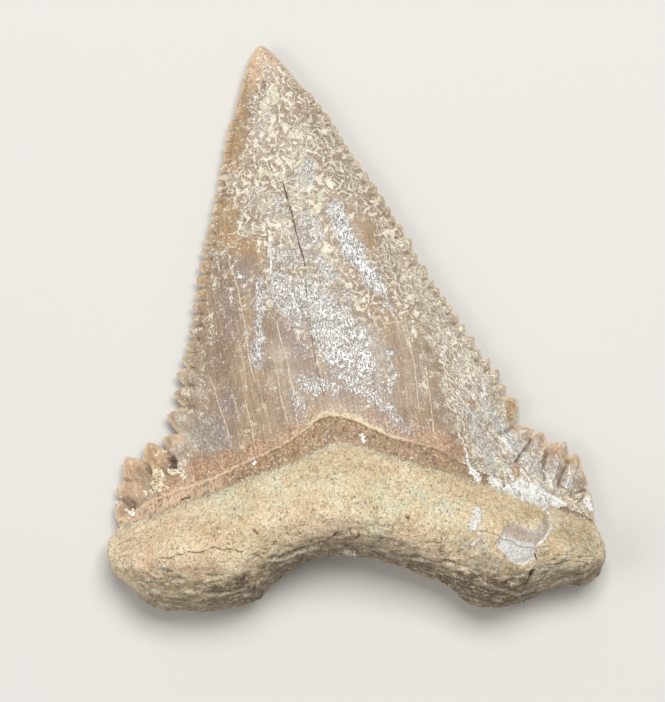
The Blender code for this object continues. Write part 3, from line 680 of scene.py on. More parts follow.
MAUVE = [
    (0.90, 0.9, (-10.2, 31.2), (-9.7, 29.4)), (0.90, 0.8, (-6.8, 25.2), (-5.1, 23.1)),
    (0.54, 0.8, (-8.6, 29.4), (-8.7, 26.1), (-8.9, 22.6)), (0.72, 0.5, (-4.9, 21.9), (-4.4, 20.4)),
    (0.99, 0.8, (-11.7, 18.9), (-12.1, 15.3)), (0.72, 0.6, (-13.6, 16.3), (-13.0, 14.9)),
    (0.72, 0.6, (1.6, 17.0), (3.5, 16.2)), (0.72, 0.6, (17.7, 12.9), (18.3, 11.4)),
    (0.36, 0.9, (20.6, 12.1), (20.7, 11.4)), (0.72, 0.4, (7.5, 18.8), (7.9, 17.0)),
    (0.54, 0.6, (1.6, 25.1), (2.1, 23.1)), (0.90, 0.5, (-11.6, 28.8), (-11.4, 25.3)),
    (0.63, 0.5, (16.1, 13.5), (16.4, 12.2)),
]
PALE = [
    (0.81, 0.8, (8.7, 24.6), (11.0, 20.4), (11.7, 17.9)), (0.81, 0.8, (12.9, 15.8), (14.2, 14.6)),
    (0.81, 0.7, (16.0, 12.0), (18.3, 10.8)), (0.81, 0.5, (5.4, 29.6), (7.6, 26.2)),
    (0.99, 0.7, (-5.3, 43.7), (-4.9, 37.1)), (1.17, 0.7, (-8.9, 37.4), (-7.3, 35.7), (-5.4, 33.6)),
    (1.17, 0.35, (4.2, 24.6), (5.2, 22.6), (5.6, 19.8)), (0.81, 0.6, (1.3, 25.0), (2.0, 21.5)),
    (0.81, 0.8, (-8.1, 46.1), (-8.6, 41.8)), (0.63, 0.7, (-16.3, 15.9), (-15.5, 12.7)),
    (0.54, 0.5, (21.1, 10.6), (20.9, 9.7)), (0.90, 0.5, (-5.1, 33.8), (-2.4, 30.6)),
    (0.72, 0.6, (11.8, 14.0), (12.8, 12.6)), (0.54, 0.8, (15.2, 14.1), (15.6, 12.7)),
    (0.72, 0.7, (12.8, 16.9), (14.0, 15.2)), (0.72, 0.5, (-15.4, 21.0), (-14.6, 19.6)),
    (1.08, 0.6, (3.5, 32.0), (6.0, 28.5), (9.5, 24.0), (12.0, 19.5)),
    (0.54, 0.8, (15.3, 15.4), (15.0, 13.5)), (0.54, 0.6, (-8.6, 51.0), (-8.2, 49.0)),
    (0.54, 0.8, (16.2, 14.6), (15.6, 13.2)), (0.45, 0.7, (18.0, 13.2), (17.5, 12.0)),
    (0.45, 0.6, (19.6, 12.4), (19.0, 11.2)), (0.63, 0.7, (13.2, 16.6), (14.2, 15.9)),
    (0.72, 0.5, (-2.6, 44.5), (0.2, 39.6)), (0.81, 0.5, (-0.8, 36.6), (0.2, 34.6)),
    (0.99, 1, (-1.0, 42.6), (0.7, 39.9)), (0.81, 0.9, (-15.9, 17.4), (-14.8, 15.8)),
    (0.99, 0.5, (-7.2, 23.0), (-6.2, 20.4)), (0.45, 0.9, (16.6, 16.0), (17.2, 15.4)),
]
# Iron stain along the enamel's end.
RUSTY = [
    (0.99, 0.8, (-15.8, 11.8), (-14.0, 12.6), (-11.7, 13.2)), (0.72, 0.7, (-10.9, 13.7), (-8.4, 14.4)),
    (0.54, 0.6, (-8.4, 14.6), (-5.1, 16.0)), (0.72, 0.6, (-17.6, 10.7), (-16.0, 11.4)),
    (0.63, 0.6, (1.4, 17.1), (4.2, 15.8)), (0.72, 0.75, (4.7, 15.6), (8.8, 14.5)),
    (0.36, 0.9, (14.2, 12.4)), (0.54, 0.5, (7.4, 14.1), (9.3, 13.6)),
    (0.54, 0.4, (-5.1, 16.6), (-3.5, 17.6)),
]
# Stains of the root, and the pale left end of the neck band.
GREEN = [
    (1.17, 0.9, (-12.2, 10.2), (-10.5, 9.0)), (1.08, 0.6, (-7.3, 10.9), (-6.8, 9.5)),
    (1.17, 0.9, (1.9, 10.2), (3.4, 8.8)), (1.26, 0.8, (5.6, 10.1), (7.7, 9.0)),
    (0.90, 0.5, (-5.0, 13.1), (-2.7, 14.0)), (0.90, 0.6, (8.6, 7.7), (7.9, 6.8)),
    (1.08, 0.6, (0.8, 7.4), (2.2, 6.8)), (1.26, 0.5, (-9.5, 12.5), (-8.2, 11.1)),
    (0.81, 0.4, (16.7, 7.1), (17.7, 7.7)), (1.44, 0.5, (-5.0, 11.9), (-0.6, 11.5)),
    (1.53, 0.6, (-1.2, 8.2), (1.5, 8.4)), (1.26, 0.4, (-15.0, 8.6), (-12.5, 7.6)),
]
BLUSH = [
    (1.44, 0.9, (-19.4, 5.9), (-18.1, 3.7)), (1.08, 0.6, (-17.4, 7.2), (-16.4, 8.1)),
    (1.08, 0.8, (-14.2, 3.9), (-12.8, 3.5)), (1.26, 0.7, (-19.4, 5.0), (-17.6, 4.2), (-16.2, 3.2)),
    (1.26, 0.7, (-5.0, 7.4), (-3.1, 7.4), (-0.8, 7.2)),
    (1.44, 0.6, (-16.8, 8.9), (-14.4, 8.0), (-12.9, 6.6)), (1.26, 0.6, (3.8, 6.5), (6.8, 5.9)),
    (0.81, 0.5, (8.3, 5.4), (9.2, 5.0)), (0.81, 0.5, (-18.2, 2.2), (-16.7, 1.8)),
    (0.81, 0.4, (-6.8, 8.7), (-5.9, 8.5)), (0.81, 0.5, (-21.3, 6.0), (-20.8, 4.0)),
]
OCHRE = [
    (0.99, 0.7, (-13.8, 7.1), (-10.7, 6.6)), (0.99, 0.4, (-9.9, 12.0), (-9.4, 8.8)),
    (1.08, 0.7, (8.2, 11.9), (11.1, 10.2)), (0.63, 0.9, (14.7, 8.7), (16.3, 8.6)),
    (0.90, 0.5, (6.5, 12.4), (7.6, 11.9)), (0.90, 0.4, (-5.0, 9.6), (-4.1, 9.1)),
    (1.08, 0.5, (12.2, 9.8), (13.6, 8.5)), (0.90, 0.5, (0.7, 10.6), (1.3, 8.7)),
    (0.90, 0.5, (-10.2, 8.3), (-8.3, 5.7)), (1.08, 0.5, (17.2, 6.2), (20.0, 7.3)),
    (1.26, 0.6, (-4.6, 12.7), (-1.0, 13.0), (1.5, 12.2)),
]
BLEACHED = [
    (1.80, 0.8, (-16.2, 9.3), (-14.4, 8.4), (-12.3, 7.2)),
    (1.62, 0.8, (-3.2, 8.7), (-1.0, 7.8), (0.9, 7.1)), (1.44, 0.6, (-8.7, 7.6), (-6.2, 8.6)),
    (1.17, 0.6, (-19.7, 5.2), (-17.8, 4.4)),
    (1.35, 1.2, (-21.8, 7.4), (-22.2, 5.2), (-21.4, 3.0), (-20.6, 2.2)),
    (1.17, 1.1, (-19.4, 8.0), (-16.4, 9.8)), (1.08, 1, (18.9, 8.7), (21.4, 8.0)),
    (0.90, 0.9, (22.2, 6.6), (22.0, 5.0)), (1.17, 0.9, (-12.0, 6.0), (-9.8, 5.6)),
]
PALE_NECK = [
    (1.26, 1, (-20.6, 8.2), (-18.4, 9.0), (-15.3, 10.3)), (0.99, 0.7, (-15.3, 10.3), (-12.6, 11.4)),
]
GREY_ROOT = [
    (1.62, 0.8, (10.8, 3.7), (14.4, 2.5), (19.4, 3.2)), (1.26, 0.5, (19.5, 7.2), (20.9, 5.0)),
    (1.08, 0.5, (9.9, 5.7), (11.7, 4.4)),
]
# Dirt round the root's base, laid darker as painted shade along the lower edges and in the arch.
DIRT_AND_SHADE = [
    (1.17, 0.9, (-12.5, 1.7), (-10.3, 2.0), (-8.4, 2.9)), (0.81, 0.6, (-16.4, 1.0), (-13.5, 0.5)),
    (0.90, 0.5, (-17.4, 3.0), (-14.7, 2.1)), (0.81, 0.7, (-7.5, 3.8), (-6.1, 4.2)),
    (0.36, 1, (-6.2, 4.5), (-4.0, 5.1), (-1.1, 5.4)), (0.54, 0.5, (-3.1, 5.6), (-0.5, 5.8), (2.6, 5.5)),
    (0.72, 0.8, (3.4, 4.5), (6.5, 3.6), (8.7, 2.4)), (0.90, 0.7, (9.9, 1.7), (12.8, 0.7)),
    (0.81, 0.6, (14.6, 1.0), (18.2, 2.0)), (0.72, 0.6, (19.5, 2.6), (21.5, 3.5)),
    (0.54, 0.5, (0.2, 5.4), (3.1, 4.7)),
    (0.81, 0.9, (-7.8, 2.8), (-4.4, 4.4), (-0.5, 5.0), (3.6, 4.0), (7.6, 2.4)),
    (0.81, 0.8, (9.6, 0.8), (12.6, 0.3), (15.2, 1.0)), (1.26, 1.2, (7.8, 2.3), (11.2, 1.8), (14.2, 1.5)),
    (0.99, 1, (-10.6, 0.8), (-8.9, 1.6)), (0.90, 0.6, (-14.4, 2.2), (-13.2, 2.6)),
    (0.90, 0.6, (-5.4, 4.4), (-4.6, 4.7)), (1.17, 0.5, (-16.5, 1.6), (-19.0, 1.9)),
]
# White lime in streaks and spots.
CHALK = [
    (0.16, 1, (16.5, 10.6), (17.6, 10.2), (18.8, 9.6)),
    (0.12, 0.8, (14.7, 12.7), (15.4, 11.8), (16.5, 10.6)), (0.27, 0.9, (10.3, 12.3), (10.8, 11.7)),
    (0.13, 0.9, (9.9, 13.1), (10.2, 12.5), (10.8, 12.1)),
    (0.08, 0.6, (9.1, 15.9), (9.2, 15.5), (9.5, 15.2), (9.7, 14.5)),
    (0.10, 0.8, (9.7, 14.5), (9.8, 13.9), (9.9, 13.1)), (0.36, 0.75, (10.6, 8.8), (10.5, 7.9), (10.1, 7.2)),
    (0.10, 0.6, (10.6, 7.0), (10.9, 6.4), (11.5, 5.5)), (0.10, 0.6, (10.8, 6.3), (10.1, 5.6)),
    (0.36, 0.75, (12.0, 11.6), (12.9, 11.1), (13.4, 11.0)),
    (0.09, 0.9, (16.7, 9.2), (17.2, 8.8), (17.4, 8.0), (17.1, 7.1), (16.6, 6.4), (15.9, 5.7)),
    (0.20, 0.7, (-10.6, 30.2), (-10.4, 30.1)), (0.20, 0.8, (-20.3, 8.9), (-20.1, 8.8)),
    (0.23, 0.6, (0.5, 15.4), (0.6, 15.0)), (0.11, 0.8, (-9.2, 12.9), (-9.0, 13.2)),
    (0.32, 0.8, (20.8, 10.1), (21.1, 9.4)), (0.20, 0.6, (11.6, 20.6), (11.4, 19.4)),
    (0.23, 1, (-0.9, 5.1), (-0.3, 5.0)), (0.14, 0.8, (5.0, 3.7), (5.3, 3.6)),
    (0.18, 0.4, (-17.3, 3.9), (-16.9, 3.8)), (0.23, 0.6, (13.2, 15.6), (14.2, 14.2)),
    (0.14, 0.6, (12.9, 13.4), (13.6, 12.6), (13.9, 11.7)), (0.13, 0.6, (16.9, 12.7), (17.6, 11.1)),
    (0.13, 0.6, (15.1, 14.4), (14.7, 13.1)), (0.13, 0.5, (19.2, 12.8), (18.9, 11.2)),
    (0.27, 0.5, (-15.9, 12.7), (-15.5, 12.0)), (0.18, 0.5, (7.3, 9.2), (8.0, 8.6)),
]
# The darker part of the spall's floor.
SPALL_DARK = [
    (0.72, 1, (13.2, 7.2), (14.4, 6.9), (15.8, 6.5)), (0.27, 1, (16.9, 8.7), (16.9, 7.5), (16.4, 6.8)),
]
# Cream ridges on the enamel's raised end.
LIP_RIDGES = [
    (
        0.14, 0.9, (-4.2, 16.5), (-3.6, 17.1), (-3.0, 17.5), (-2.5, 17.6), (-2.0, 17.4), (-1.3, 17.2),
        (-0.7, 17.0),
    ),
    (0.21, 1, (-1.2, 17.4), (-0.6, 17.2), (-0.1, 17.1), (0.5, 16.8), (0.9, 16.4), (1.5, 16.2), (2.2, 15.9)),
    (0.10, 0.7, (2.2, 15.9), (3.1, 15.5), (4.4, 15.1)), (0.12, 0.8, (-0.4, 16.9), (0.1, 16.8), (0.6, 16.5)),
]
# Hollows between the left cusplets, sunk and painted dark as shade.
HOLLOW = [
    (0.30, 1, (-16.9, 13.9), (-16.3, 13.3)), (0.20, 0.5, (-18.9, 13.2), (-18.5, 12.6)),
    (0.20, 0.6, (-20.6, 10.1), (-19.9, 9.6)), (0.27, 0.5, (-17.4, 13.1), (-16.9, 12.6)),
]
# Rounded folds of the lobes, painted pale along them as highlights, pits in the bone, and the cut in the
# right lobe.
ROOT_FOLDS = [
    (0.13, 0.9, (-21.8, 7.6), (-22.2, 6.2), (-22.0, 5.0), (-21.6, 3.9)),
    (0.11, 0.8, (-21.4, 7.2), (-21.5, 5.9), (-21.3, 4.7), (-20.9, 3.9), (-20.2, 3.8), (-20.0, 4.5)),
    (0.11, 0.6, (-20.5, 3.0), (-19.5, 1.9), (-18.4, 1.2)),
    (0.11, 0.5, (-18.3, 1.7), (-16.6, 1.2), (-14.9, 1.2)),
    (0.11, 0.6, (-13.4, 2.5), (-11.9, 2.9), (-10.3, 3.4)),
    (0.09, 0.6, (-13.0, 1.3), (-11.2, 1.5), (-9.8, 2.0)),
    (0.11, 0.5, (10.9, 2.5), (12.7, 1.8), (14.5, 1.4)), (0.11, 0.5, (16.3, 1.9), (18.1, 2.6), (19.9, 3.0)),
    (0.09, 0.5, (17.6, 3.8), (19.6, 4.0), (21.1, 4.4)),
    (0.09, 0.5, (-17.4, 3.0), (-15.9, 3.2), (-14.7, 2.8)),
]
PITS = [
    (0.11, 0.7, (-9.1, 6.9), (-8.7, 6.6)), (0.14, 1, (4.5, 8.0)), (0.12, 0.6, (7.8, 7.8)),
    (0.09, 0.8, (-3.8, 8.7)), (0.13, 0.7, (-2.8, 9.0)), (0.13, 0.6, (-0.2, 9.8)), (0.11, 0.7, (0.1, 9.3)),
    (0.14, 0.8, (-2.0, 6.4), (-1.7, 6.6)), (0.12, 0.7, (-0.6, 6.8)), (0.14, 0.7, (0.1, 6.3)),
    (0.12, 1, (13.1, 11.2)), (0.09, 0.9, (6.6, 11.1)), (0.08, 0.8, (-13.4, 10.1), (-13.2, 10.3)),
    (0.10, 0.7, (13.0, 4.7)), (0.14, 0.8, (20.4, 4.0)), (0.07, 0.8, (-15.8, 10.0), (-14.9, 10.2)),
    (0.09, 0.7, (-5.0, 6.6)), (0.11, 0.6, (-10.2, 7.9)), (0.09, 0.7, (-3.1, 12.2)),
]
CUT = [
    (0.16, 1, (15.6, 3.4), (15.4, 2.9)), (0.11, 0.8, (15.4, 2.9), (14.9, 2.2)),
]
# Grooves between the cusplets, and the crest down the middle of each.
CUSPLET_GROOVES = [
    (0.13, 0.5, (-17.3, 14.8), (-16.9, 14.2), (-16.5, 13.7)),
    (0.12, 0.6, (-19.1, 13.4), (-18.7, 12.8), (-18.4, 12.4)),
    (0.13, 0.9, (-21.2, 10.2), (-20.7, 9.8), (-20.1, 9.3)),
    (0.14, 0.9, (15.8, 15.6), (15.1, 14.5), (14.3, 13.5)),
    (0.14, 0.8, (17.2, 14.6), (16.8, 13.2), (16.9, 11.8)),
    (0.14, 0.9, (19.2, 13.7), (18.6, 12.4), (18.2, 11.3)),
    (0.12, 0.8, (20.7, 11.0), (20.0, 10.8), (19.4, 10.6)),
    (0.13, 0.6, (14.2, 16.8), (13.5, 16.3), (12.9, 16.0)), (0.11, 0.6, (-21.2, 12.1), (-20.4, 11.8)),
]
CUSPLET_CRESTS = [
    (0.23, 1, (16.6, 16.0), (16.0, 14.4), (15.4, 12.9)),
    (0.23, 1, (18.7, 15.1), (18.0, 13.5), (17.7, 12.0)),
    (0.22, 0.8, (20.0, 14.1), (19.6, 12.6), (19.2, 11.2)), (0.23, 0.8, (-18.6, 14.9), (-17.7, 13.4)),
    (0.23, 0.8, (-20.6, 13.6), (-19.7, 12.1)), (0.20, 0.7, (-21.3, 9.1), (-20.4, 9.0)),
    (0.22, 0.7, (15.6, 16.7), (14.4, 15.9)),
]
# The crest along the arch, painted pale as a highlight, the cleft above it, painted dark as its shadow, and
# short dark creases there.
ARCH_CREST = [
    (0.12, 1, (-8.3, 4.3), (-7.2, 4.3), (-6.4, 4.5), (-5.7, 4.7), (-5.1, 4.9), (-4.3, 5.2), (-3.5, 5.5)),
    (
        0.10, 0.7, (1.4, 5.3), (2.5, 5.1), (3.8, 4.7), (4.9, 4.4), (6.5, 4.2), (8.0, 3.8), (9.2, 3.5),
        (10.8, 3.2),
    ),
]
ARCH_CLEFT = [
    (0.11, 0.9, (-7.7, 4.6), (-6.8, 4.7), (-6.1, 5.1), (-5.3, 5.2), (-4.5, 5.4)),
    (0.09, 0.8, (3.4, 4.9), (4.9, 4.7), (6.5, 4.4), (8.7, 4.0)),
    (0.11, 0.7, (-3.5, 5.8), (-2.0, 6.1), (-0.5, 6.2)), (0.09, 0.6, (6.1, 3.7), (7.4, 3.2), (8.5, 2.8)),
]
ARCH_CREASES = [
    (0.09, 0.8, (-2.4, 6.2), (-1.8, 6.4), (-1.2, 6.5)), (0.08, 0.8, (-1.0, 6.7), (-0.6, 7.0)),
    (0.07, 0.8, (-0.6, 6.7), (0.0, 6.1), (0.2, 6.5), (0.1, 6.7)), (0.08, 0.8, (0.6, 6.9), (1.1, 6.7)),
    (0.08, 0.8, (2.0, 6.1), (2.4, 6.3)), (0.07, 0.7, (2.6, 7.1), (2.9, 7.2)),
    (0.07, 0.6, (1.6, 7.6), (1.9, 7.4)), (0.06, 0.7, (4.2, 8.1), (4.5, 7.8), (4.6, 7.5)),
    (0.07, 0.6, (3.1, 6.1), (3.4, 6.0)), (0.07, 0.6, (5.1, 6.9), (5.4, 6.7)),
    (0.06, 0.5, (1.0, 8.1), (1.5, 7.9), (1.9, 7.7)),
    (0.08, 0.6, (-3.2, 5.6), (-1.5, 5.8), (0.3, 5.6), (2.1, 5.5)),
    (0.08, 0.6, (2.4, 5.0), (4.0, 4.6), (5.6, 4.2)),
]
# Where the sediment grains stick.
CRUMBS = [
    (0.45, 1.9, (-17.9, 12.3), (-17.6, 11.2)), (0.32, 1.3, (-16.8, 12.6), (-15.5, 12.3)),
    (0.23, 1.2, (-17.8, 14.1), (-17.5, 14.7)), (0.23, 0.8, (-15.8, 13.4), (-15.5, 12.7)),
    (0.36, 0.6, (-18.8, 11.3), (-18.6, 10.6)), (0.36, 0.7, (12.6, 13.4), (13.2, 12.4)),
    (0.27, 0.5, (14.7, 14.4), (14.3, 13.4)), (0.27, 9, (-0.8, 4.9), (-0.3, 4.8)),
    (0.27, 0.6, (18.3, 10.3), (19.7, 10.1)), (0.27, 0.5, (-20.3, 9.0), (-20.0, 8.6)),
]
# Outlines of the lime crust on the right shoulder and of the spall in the right lobe.
CRUST = [
    (13.4, 10.5), (13.7, 11.2), (14.2, 11.7), (15.0, 11.9), (15.7, 11.6), (16.4, 11.0), (17.4, 10.6),
    (18.3, 10.1), (19.0, 9.4), (18.1, 9.3), (17.4, 9.5), (16.9, 9.2), (16.1, 9.1), (15.4, 9.3), (14.6, 9.7),
    (14.0, 10.0),
]
SPALL = [
    (12.6, 6.4), (12.9, 7.2), (13.3, 7.7), (14.0, 7.7), (14.6, 7.4), (15.2, 7.2), (16.2, 7.2), (17.0, 9.0),
    (17.1, 7.7), (16.9, 7.1), (16.4, 6.2), (15.9, 5.7), (15.6, 5.4), (15.8, 4.8), (15.4, 4.2), (14.7, 4.0),
    (14.0, 3.9), (13.5, 4.3), (13.0, 4.8), (12.6, 5.2), (12.2, 5.7),
]
# Cracks and growth lines: strength, then the line's points.
CRACKS = [
    (
        1, (-6.6, 38.5), (-6.3, 37.5), (-6.1, 36.6), (-5.8, 35.8), (-5.5, 34.4), (-5.2, 33.1),
        (-4.8, 31.8), (-4.6, 30.9),
    ),
    (0.5, (-4.6, 30.9), (-4.5, 28.7), (-4.4, 27.2), (-4.0, 24.4), (-3.6, 21.9), (-3.3, 20.3), (-2.9, 19.1)),
    (
        0.7, (-17.2, 4.6), (-16.4, 4.5), (-15.9, 4.8), (-15.2, 4.9), (-14.8, 5.1), (-13.8, 5.0),
        (-13.2, 5.2), (-12.7, 5.4), (-12.4, 5.5), (-11.7, 5.2), (-11.0, 5.3), (-10.6, 5.2), (-10.2, 5.0),
        (-9.8, 5.2), (-9.4, 5.0), (-8.8, 4.8), (-8.3, 4.5),
    ),
    (
        0.55, (11.0, 6.9), (11.7, 6.8), (12.3, 6.6), (12.7, 6.2), (13.4, 6.1), (14.1, 5.6), (14.8, 5.4),
        (16.1, 5.5), (16.8, 5.6),
    ),
    (1, (15.5, 5.2), (15.7, 4.9), (15.8, 4.5)), (0.4, (-19.9, 2.7), (-18.2, 2.4), (-16.8, 2.4)),
    (0.5, (16.6, 4.0), (18.8, 4.3), (20.9, 4.2)), (0.4, (16.9, 4.8), (18.8, 4.9), (21.1, 4.8)),
    (0.4, (-21.0, 4.5), (-20.5, 3.5), (-19.6, 3.1)), (0.35, (17.6, 3.2), (19.8, 3.5)),
]
GROWTH_LINES = [
    (
        1, (-11.5, 31.6), (-11.2, 30.7), (-10.7, 29.2), (-10.4, 27.6), (-10.1, 26.2), (-9.9, 24.8),
        (-9.7, 23.2), (-9.5, 21.9), (-9.2, 20.8),
    ),
    (0.8, (-8.6, 31.8), (-8.2, 30.5), (-8.0, 29.4), (-7.8, 28.2)),
    (0.9, (-7.1, 25.8), (-6.9, 24.6), (-6.4, 23.1), (-6.1, 21.8), (-5.9, 20.5), (-5.5, 19.4), (-5.1, 18.5)),
    (
        0.8, (-13.1, 21.0), (-12.7, 19.7), (-12.4, 18.8), (-12.1, 17.8), (-11.7, 16.7), (-11.4, 15.7),
        (-11.1, 14.5),
    ),
    (0.9, (-9.9, 18.7), (-9.6, 17.4), (-9.3, 16.2), (-9.2, 15.2), (-9.0, 14.2)),
    (0.6, (-7.0, 20.7), (-6.8, 19.2), (-6.4, 17.8), (-6.1, 16.6)),
    (0.6, (-11.2, 19.8), (-10.8, 18.4), (-10.5, 17.1)), (0.6, (-3.6, 22.5), (-3.2, 21.4), (-3.1, 20.3)),
    (0.9, (4.4, 26.0), (4.7, 24.5), (4.9, 23.2), (5.2, 21.9), (5.3, 20.6), (5.4, 19.2), (5.6, 17.7)),
    (0.9, (6.2, 21.9), (6.3, 20.6), (6.5, 19.2), (6.7, 17.7), (6.8, 16.0), (7.1, 15.0)),
    (0.6, (2.4, 17.9), (2.5, 16.9), (2.7, 16.2)), (0.5, (4.4, 20.1), (4.5, 18.2)),
    (0.7, (-2.4, 18.4), (-2.1, 17.6), (-1.8, 16.4), (-1.6, 15.2)),
    (0.5, (3.4, 29.4), (3.8, 28.0), (4.0, 26.9)), (0.5, (9.4, 16.3), (9.8, 15.2), (10.1, 14.4)),
    (0.6, (-5.4, 17.1), (-5.1, 16.2), (-4.8, 15.6)), (0.5, (-0.1, 17.9), (0.3, 16.9)),
    (0.4, (-8.1, 18.3), (-7.8, 16.9), (-7.5, 15.5)),
    (0.5, (-10.5, 23.9), (-10.2, 22.5), (-9.9, 20.7), (-9.8, 19.2)),
    (0.4, (-8.8, 20.6), (-8.5, 18.9), (-8.1, 17.7)),
    (0.8, (2.7, 25.7), (3.4, 25.9), (3.9, 26.0), (4.3, 25.9)),
    (0.7, (3.8, 25.9), (4.2, 25.4), (4.4, 24.6), (4.6, 23.7)),
]


def away_from(path, x, y):
    """(distance of each point from a line of points, 1 on its right side and -1 on its left)."""
    nearest, side = np.full(len(x), 99.0), np.ones(len(x))
    for (ax, ay), (bx, by) in zip(path, path[1:]):
        dx, dy = bx - ax, by - ay
        t = np.clip(((x - ax) * dx + (y - ay) * dy) / max(dx * dx + dy * dy, 1e-9), 0, 1)
        away = np.hypot(ax + t * dx - x, ay + t * dy - y)
        side = np.where(away < nearest, np.where((x - ax) * dy > (y - ay) * dx, 1.0, -1.0), side)
        nearest = np.minimum(nearest, away)
    return nearest, side


def strokes(marks, x, y, soft):
    """The strongest of some strokes at each point. A stroke of one point is a round spot."""
    found = np.zeros(len(x))
    for half, strength, *path in marks:
        reach, far = np.array(path), half * (1 + soft / 2)
        near = np.abs(x - reach[:, 0].mean()) < np.ptp(reach[:, 0]) / 2 + far
        near &= np.abs(y - reach[:, 1].mean()) < np.ptp(reach[:, 1]) / 2 + far
        away = away_from(path * 2 if len(path) == 1 else path, x[near], y[near])[0]
        found[near] = np.maximum(found[near], strength * smoothstep(0.5 + (half - away) / (half * soft)))
    return found


def filled(shape, x, y, soft):
    """1 inside a closed shape and 0 outside, over a soft edge."""
    corners = [*shape, shape[0]]
    within = np.zeros(len(x), bool)
    for (ax, ay), (bx, by) in zip(corners, corners[1:]):
        crosses = (ay > y) != (by > y)
        within ^= crosses & (x < ax + (y - ay) * (bx - ax) / (by - ay if by != ay else 1e-9))
    return smoothstep(np.where(within, 1, -1) * away_from(corners, x, y)[0] / soft + 0.5)


LINE_REACH, LINE_END, LINE_FADE = 0.40, 0.36, 0.12


def beside(lines, x, y):
    """(signed distance to the nearest of some lines, its strength close to it and 0 away from it)."""
    nearest, strength_there = np.full(len(x), LINE_REACH), np.zeros(len(x))
    for strength, *path in lines:
        away, side = away_from(path, x, y)
        closer = away < np.abs(nearest)
        nearest = np.where(closer, side * np.maximum(away, 1e-5), nearest)
        strength_there = np.where(closer, strength, strength_there)
    return nearest, strength_there * smoothstep((LINE_END - np.abs(nearest)) / LINE_FADE)


def write_attribute(mesh, name, values):
    """Stores one number for each point of a mesh, under a name."""
    mesh.attributes.new(name, "FLOAT", "POINT").data.foreach_set("value", np.asarray(values, np.float32))


outline, serration_grooves = make_outline()
bare = smoothstep((ROOT_TOP - outline[:, 1]) / 0.6)[:, None]
chips = 0.5 + 0.5 * rough(*outline.T, FINE_CHIPS, 41.0) + 0.5 * rough(*outline.T, WIDE_CHIPS, 42.0)
outline = outline + inwards_from(outline) * bare * CHIP_DEPTH * np.clip(chips, 0, 1)[:, None]

# The points: the outline, then those of the inner face, then those of the outer face.
inner_points, inner_triangles = triangulate(outline, lattice(outline, INNER_STEP))
outer_points, outer_triangles = triangulate(outline, lattice(outline, OUTER_STEP))
count = len(outline)
plan = np.vstack([outline, inner_points, outer_points])
x, y = plan.T
depth = np.r_[np.zeros(count), depth_in(outline, plan[count:])]
inner = slice(count, count + len(inner_points))
outer = slice(count + len(inner_points), len(plan))
on_inner = np.ones(len(plan))
on_inner[outer] = 0.0

height = np.empty(len(plan))
height[:count] = edge_height(outline[:, 1])
height[inner] = inner_skin(outline, x[inner], y[inner], depth[inner])
height[outer] = outer_skin(outline, x[outer], y[outer], depth[outer])
outer_index = np.r_[np.arange(count), np.arange(len(outer_points)) + outer.start]
faces = np.vstack([inner_triangles, outer_index[outer_triangles][:, ::-1]])
tooth_mesh = bpy.data.meshes.new("fossil_tooth")
tooth_mesh.from_pydata(np.c_[x, y - TIP[1] / 2, height].tolist(), [], faces.tolist())
normals = np.empty(3 * len(plan))
tooth_mesh.vertices.foreach_get("normal", normals)
normals = normals.reshape(-1, 3)

# Places of the marks, shifted a little so that no edge of theirs is straight.
small_shift = rough(x, y, 0.5, 22.0), rough(x, y, 0.5, 23.0)
WIDE_SHIFT, SMALL_SHIFT, LINE_SHIFT = 0.45, 0.16, 0.07
mark_x = x + WIDE_SHIFT * rough(x, y, 1.5, 24.0) + SMALL_SHIFT * small_shift[0]
mark_y = y + WIDE_SHIFT * rough(x, y, 1.5, 25.0) + SMALL_SHIFT * small_shift[1]
line_x, line_y = x + LINE_SHIFT * small_shift[0], y + LINE_SHIFT * small_shift[1]
above_enamel = y - line_at(ENAMEL_LINE, x) + 0.12 * small_shift[0]
above_root = y - line_at(ROOT_LINE, x) + 0.15 * small_shift[1]

# Etching is strongest over the upper crown and the right margin, weaker along the left margin.
LEAST_ETCHED, MORE_ETCHED, SAVED_WHERE_SOUND = 0.20, 0.50, 0.8
sound = strokes(SOUND, mark_x, mark_y, 1.2)
upper = smoothstep((y - 21) / 7)
right_margin = smoothstep((x - 12.0 + 0.25 * y) / 1.5)
left_margin = 0.35 * smoothstep((-12.6 - x) / 1.5) * smoothstep((y - 16.5) / 2.0)
right_margin = right_margin * (1 - 0.15 * smoothstep((x - 12.5) / 2.0))
most = np.maximum.reduce([upper, right_margin, left_margin])
etched = (LEAST_ETCHED + MORE_ETCHED * most) * (1 - SAVED_WHERE_SOUND * sound)

# How strongly each mark shows at each point of the mesh. Lime and grains keep off the root's sides.
wormy, glinting = strokes(WORMY, mark_x, mark_y, 0.9), strokes(GLINTING, mark_x, mark_y, 1.7)
sheltered = np.where(y < ROOT_TOP, smoothstep((height - edge_height(y) - 1.3) / 0.5), 1.0)
cream, chalk = strokes(CREAM, mark_x, mark_y, 1.0), strokes(CHALK, line_x, line_y, 1.6) * sheltered
crust, spall = filled(CRUST, mark_x, mark_y, 0.4), filled(SPALL, line_x, line_y, 0.25)
veins, pits = strokes(VEINS, line_x, line_y, 0.8), strokes(PITS, line_x, line_y, 0.8)
cut, creases = strokes(CUT, line_x, line_y, 0.7), strokes(ARCH_CREASES, line_x, line_y, 0.9)
cleft = np.maximum(strokes(ARCH_CLEFT, mark_x, mark_y, 0.9), creases)
crest, folds = strokes(ARCH_CREST, mark_x, mark_y, 1.0), strokes(ROOT_FOLDS, line_x, line_y, 1.2)
lip_ridges = strokes(LIP_RIDGES, line_x, line_y, 1.0)
grooves = strokes(serration_grooves + CUSPLET_GROOVES, line_x, line_y, 1.0)
crests = strokes(CUSPLET_CRESTS, x, y, 1.4)
crack, crack_near = beside(CRACKS, line_x, line_y)
growth, growth_near = beside(GROWTH_LINES, line_x, line_y)

# A groove runs along the root's upper edge on the left.
neck_groove = np.exp(-(((above_root - 0.15) / 0.16) ** 2)) * smoothstep((-6.0 - x) / 5.0)

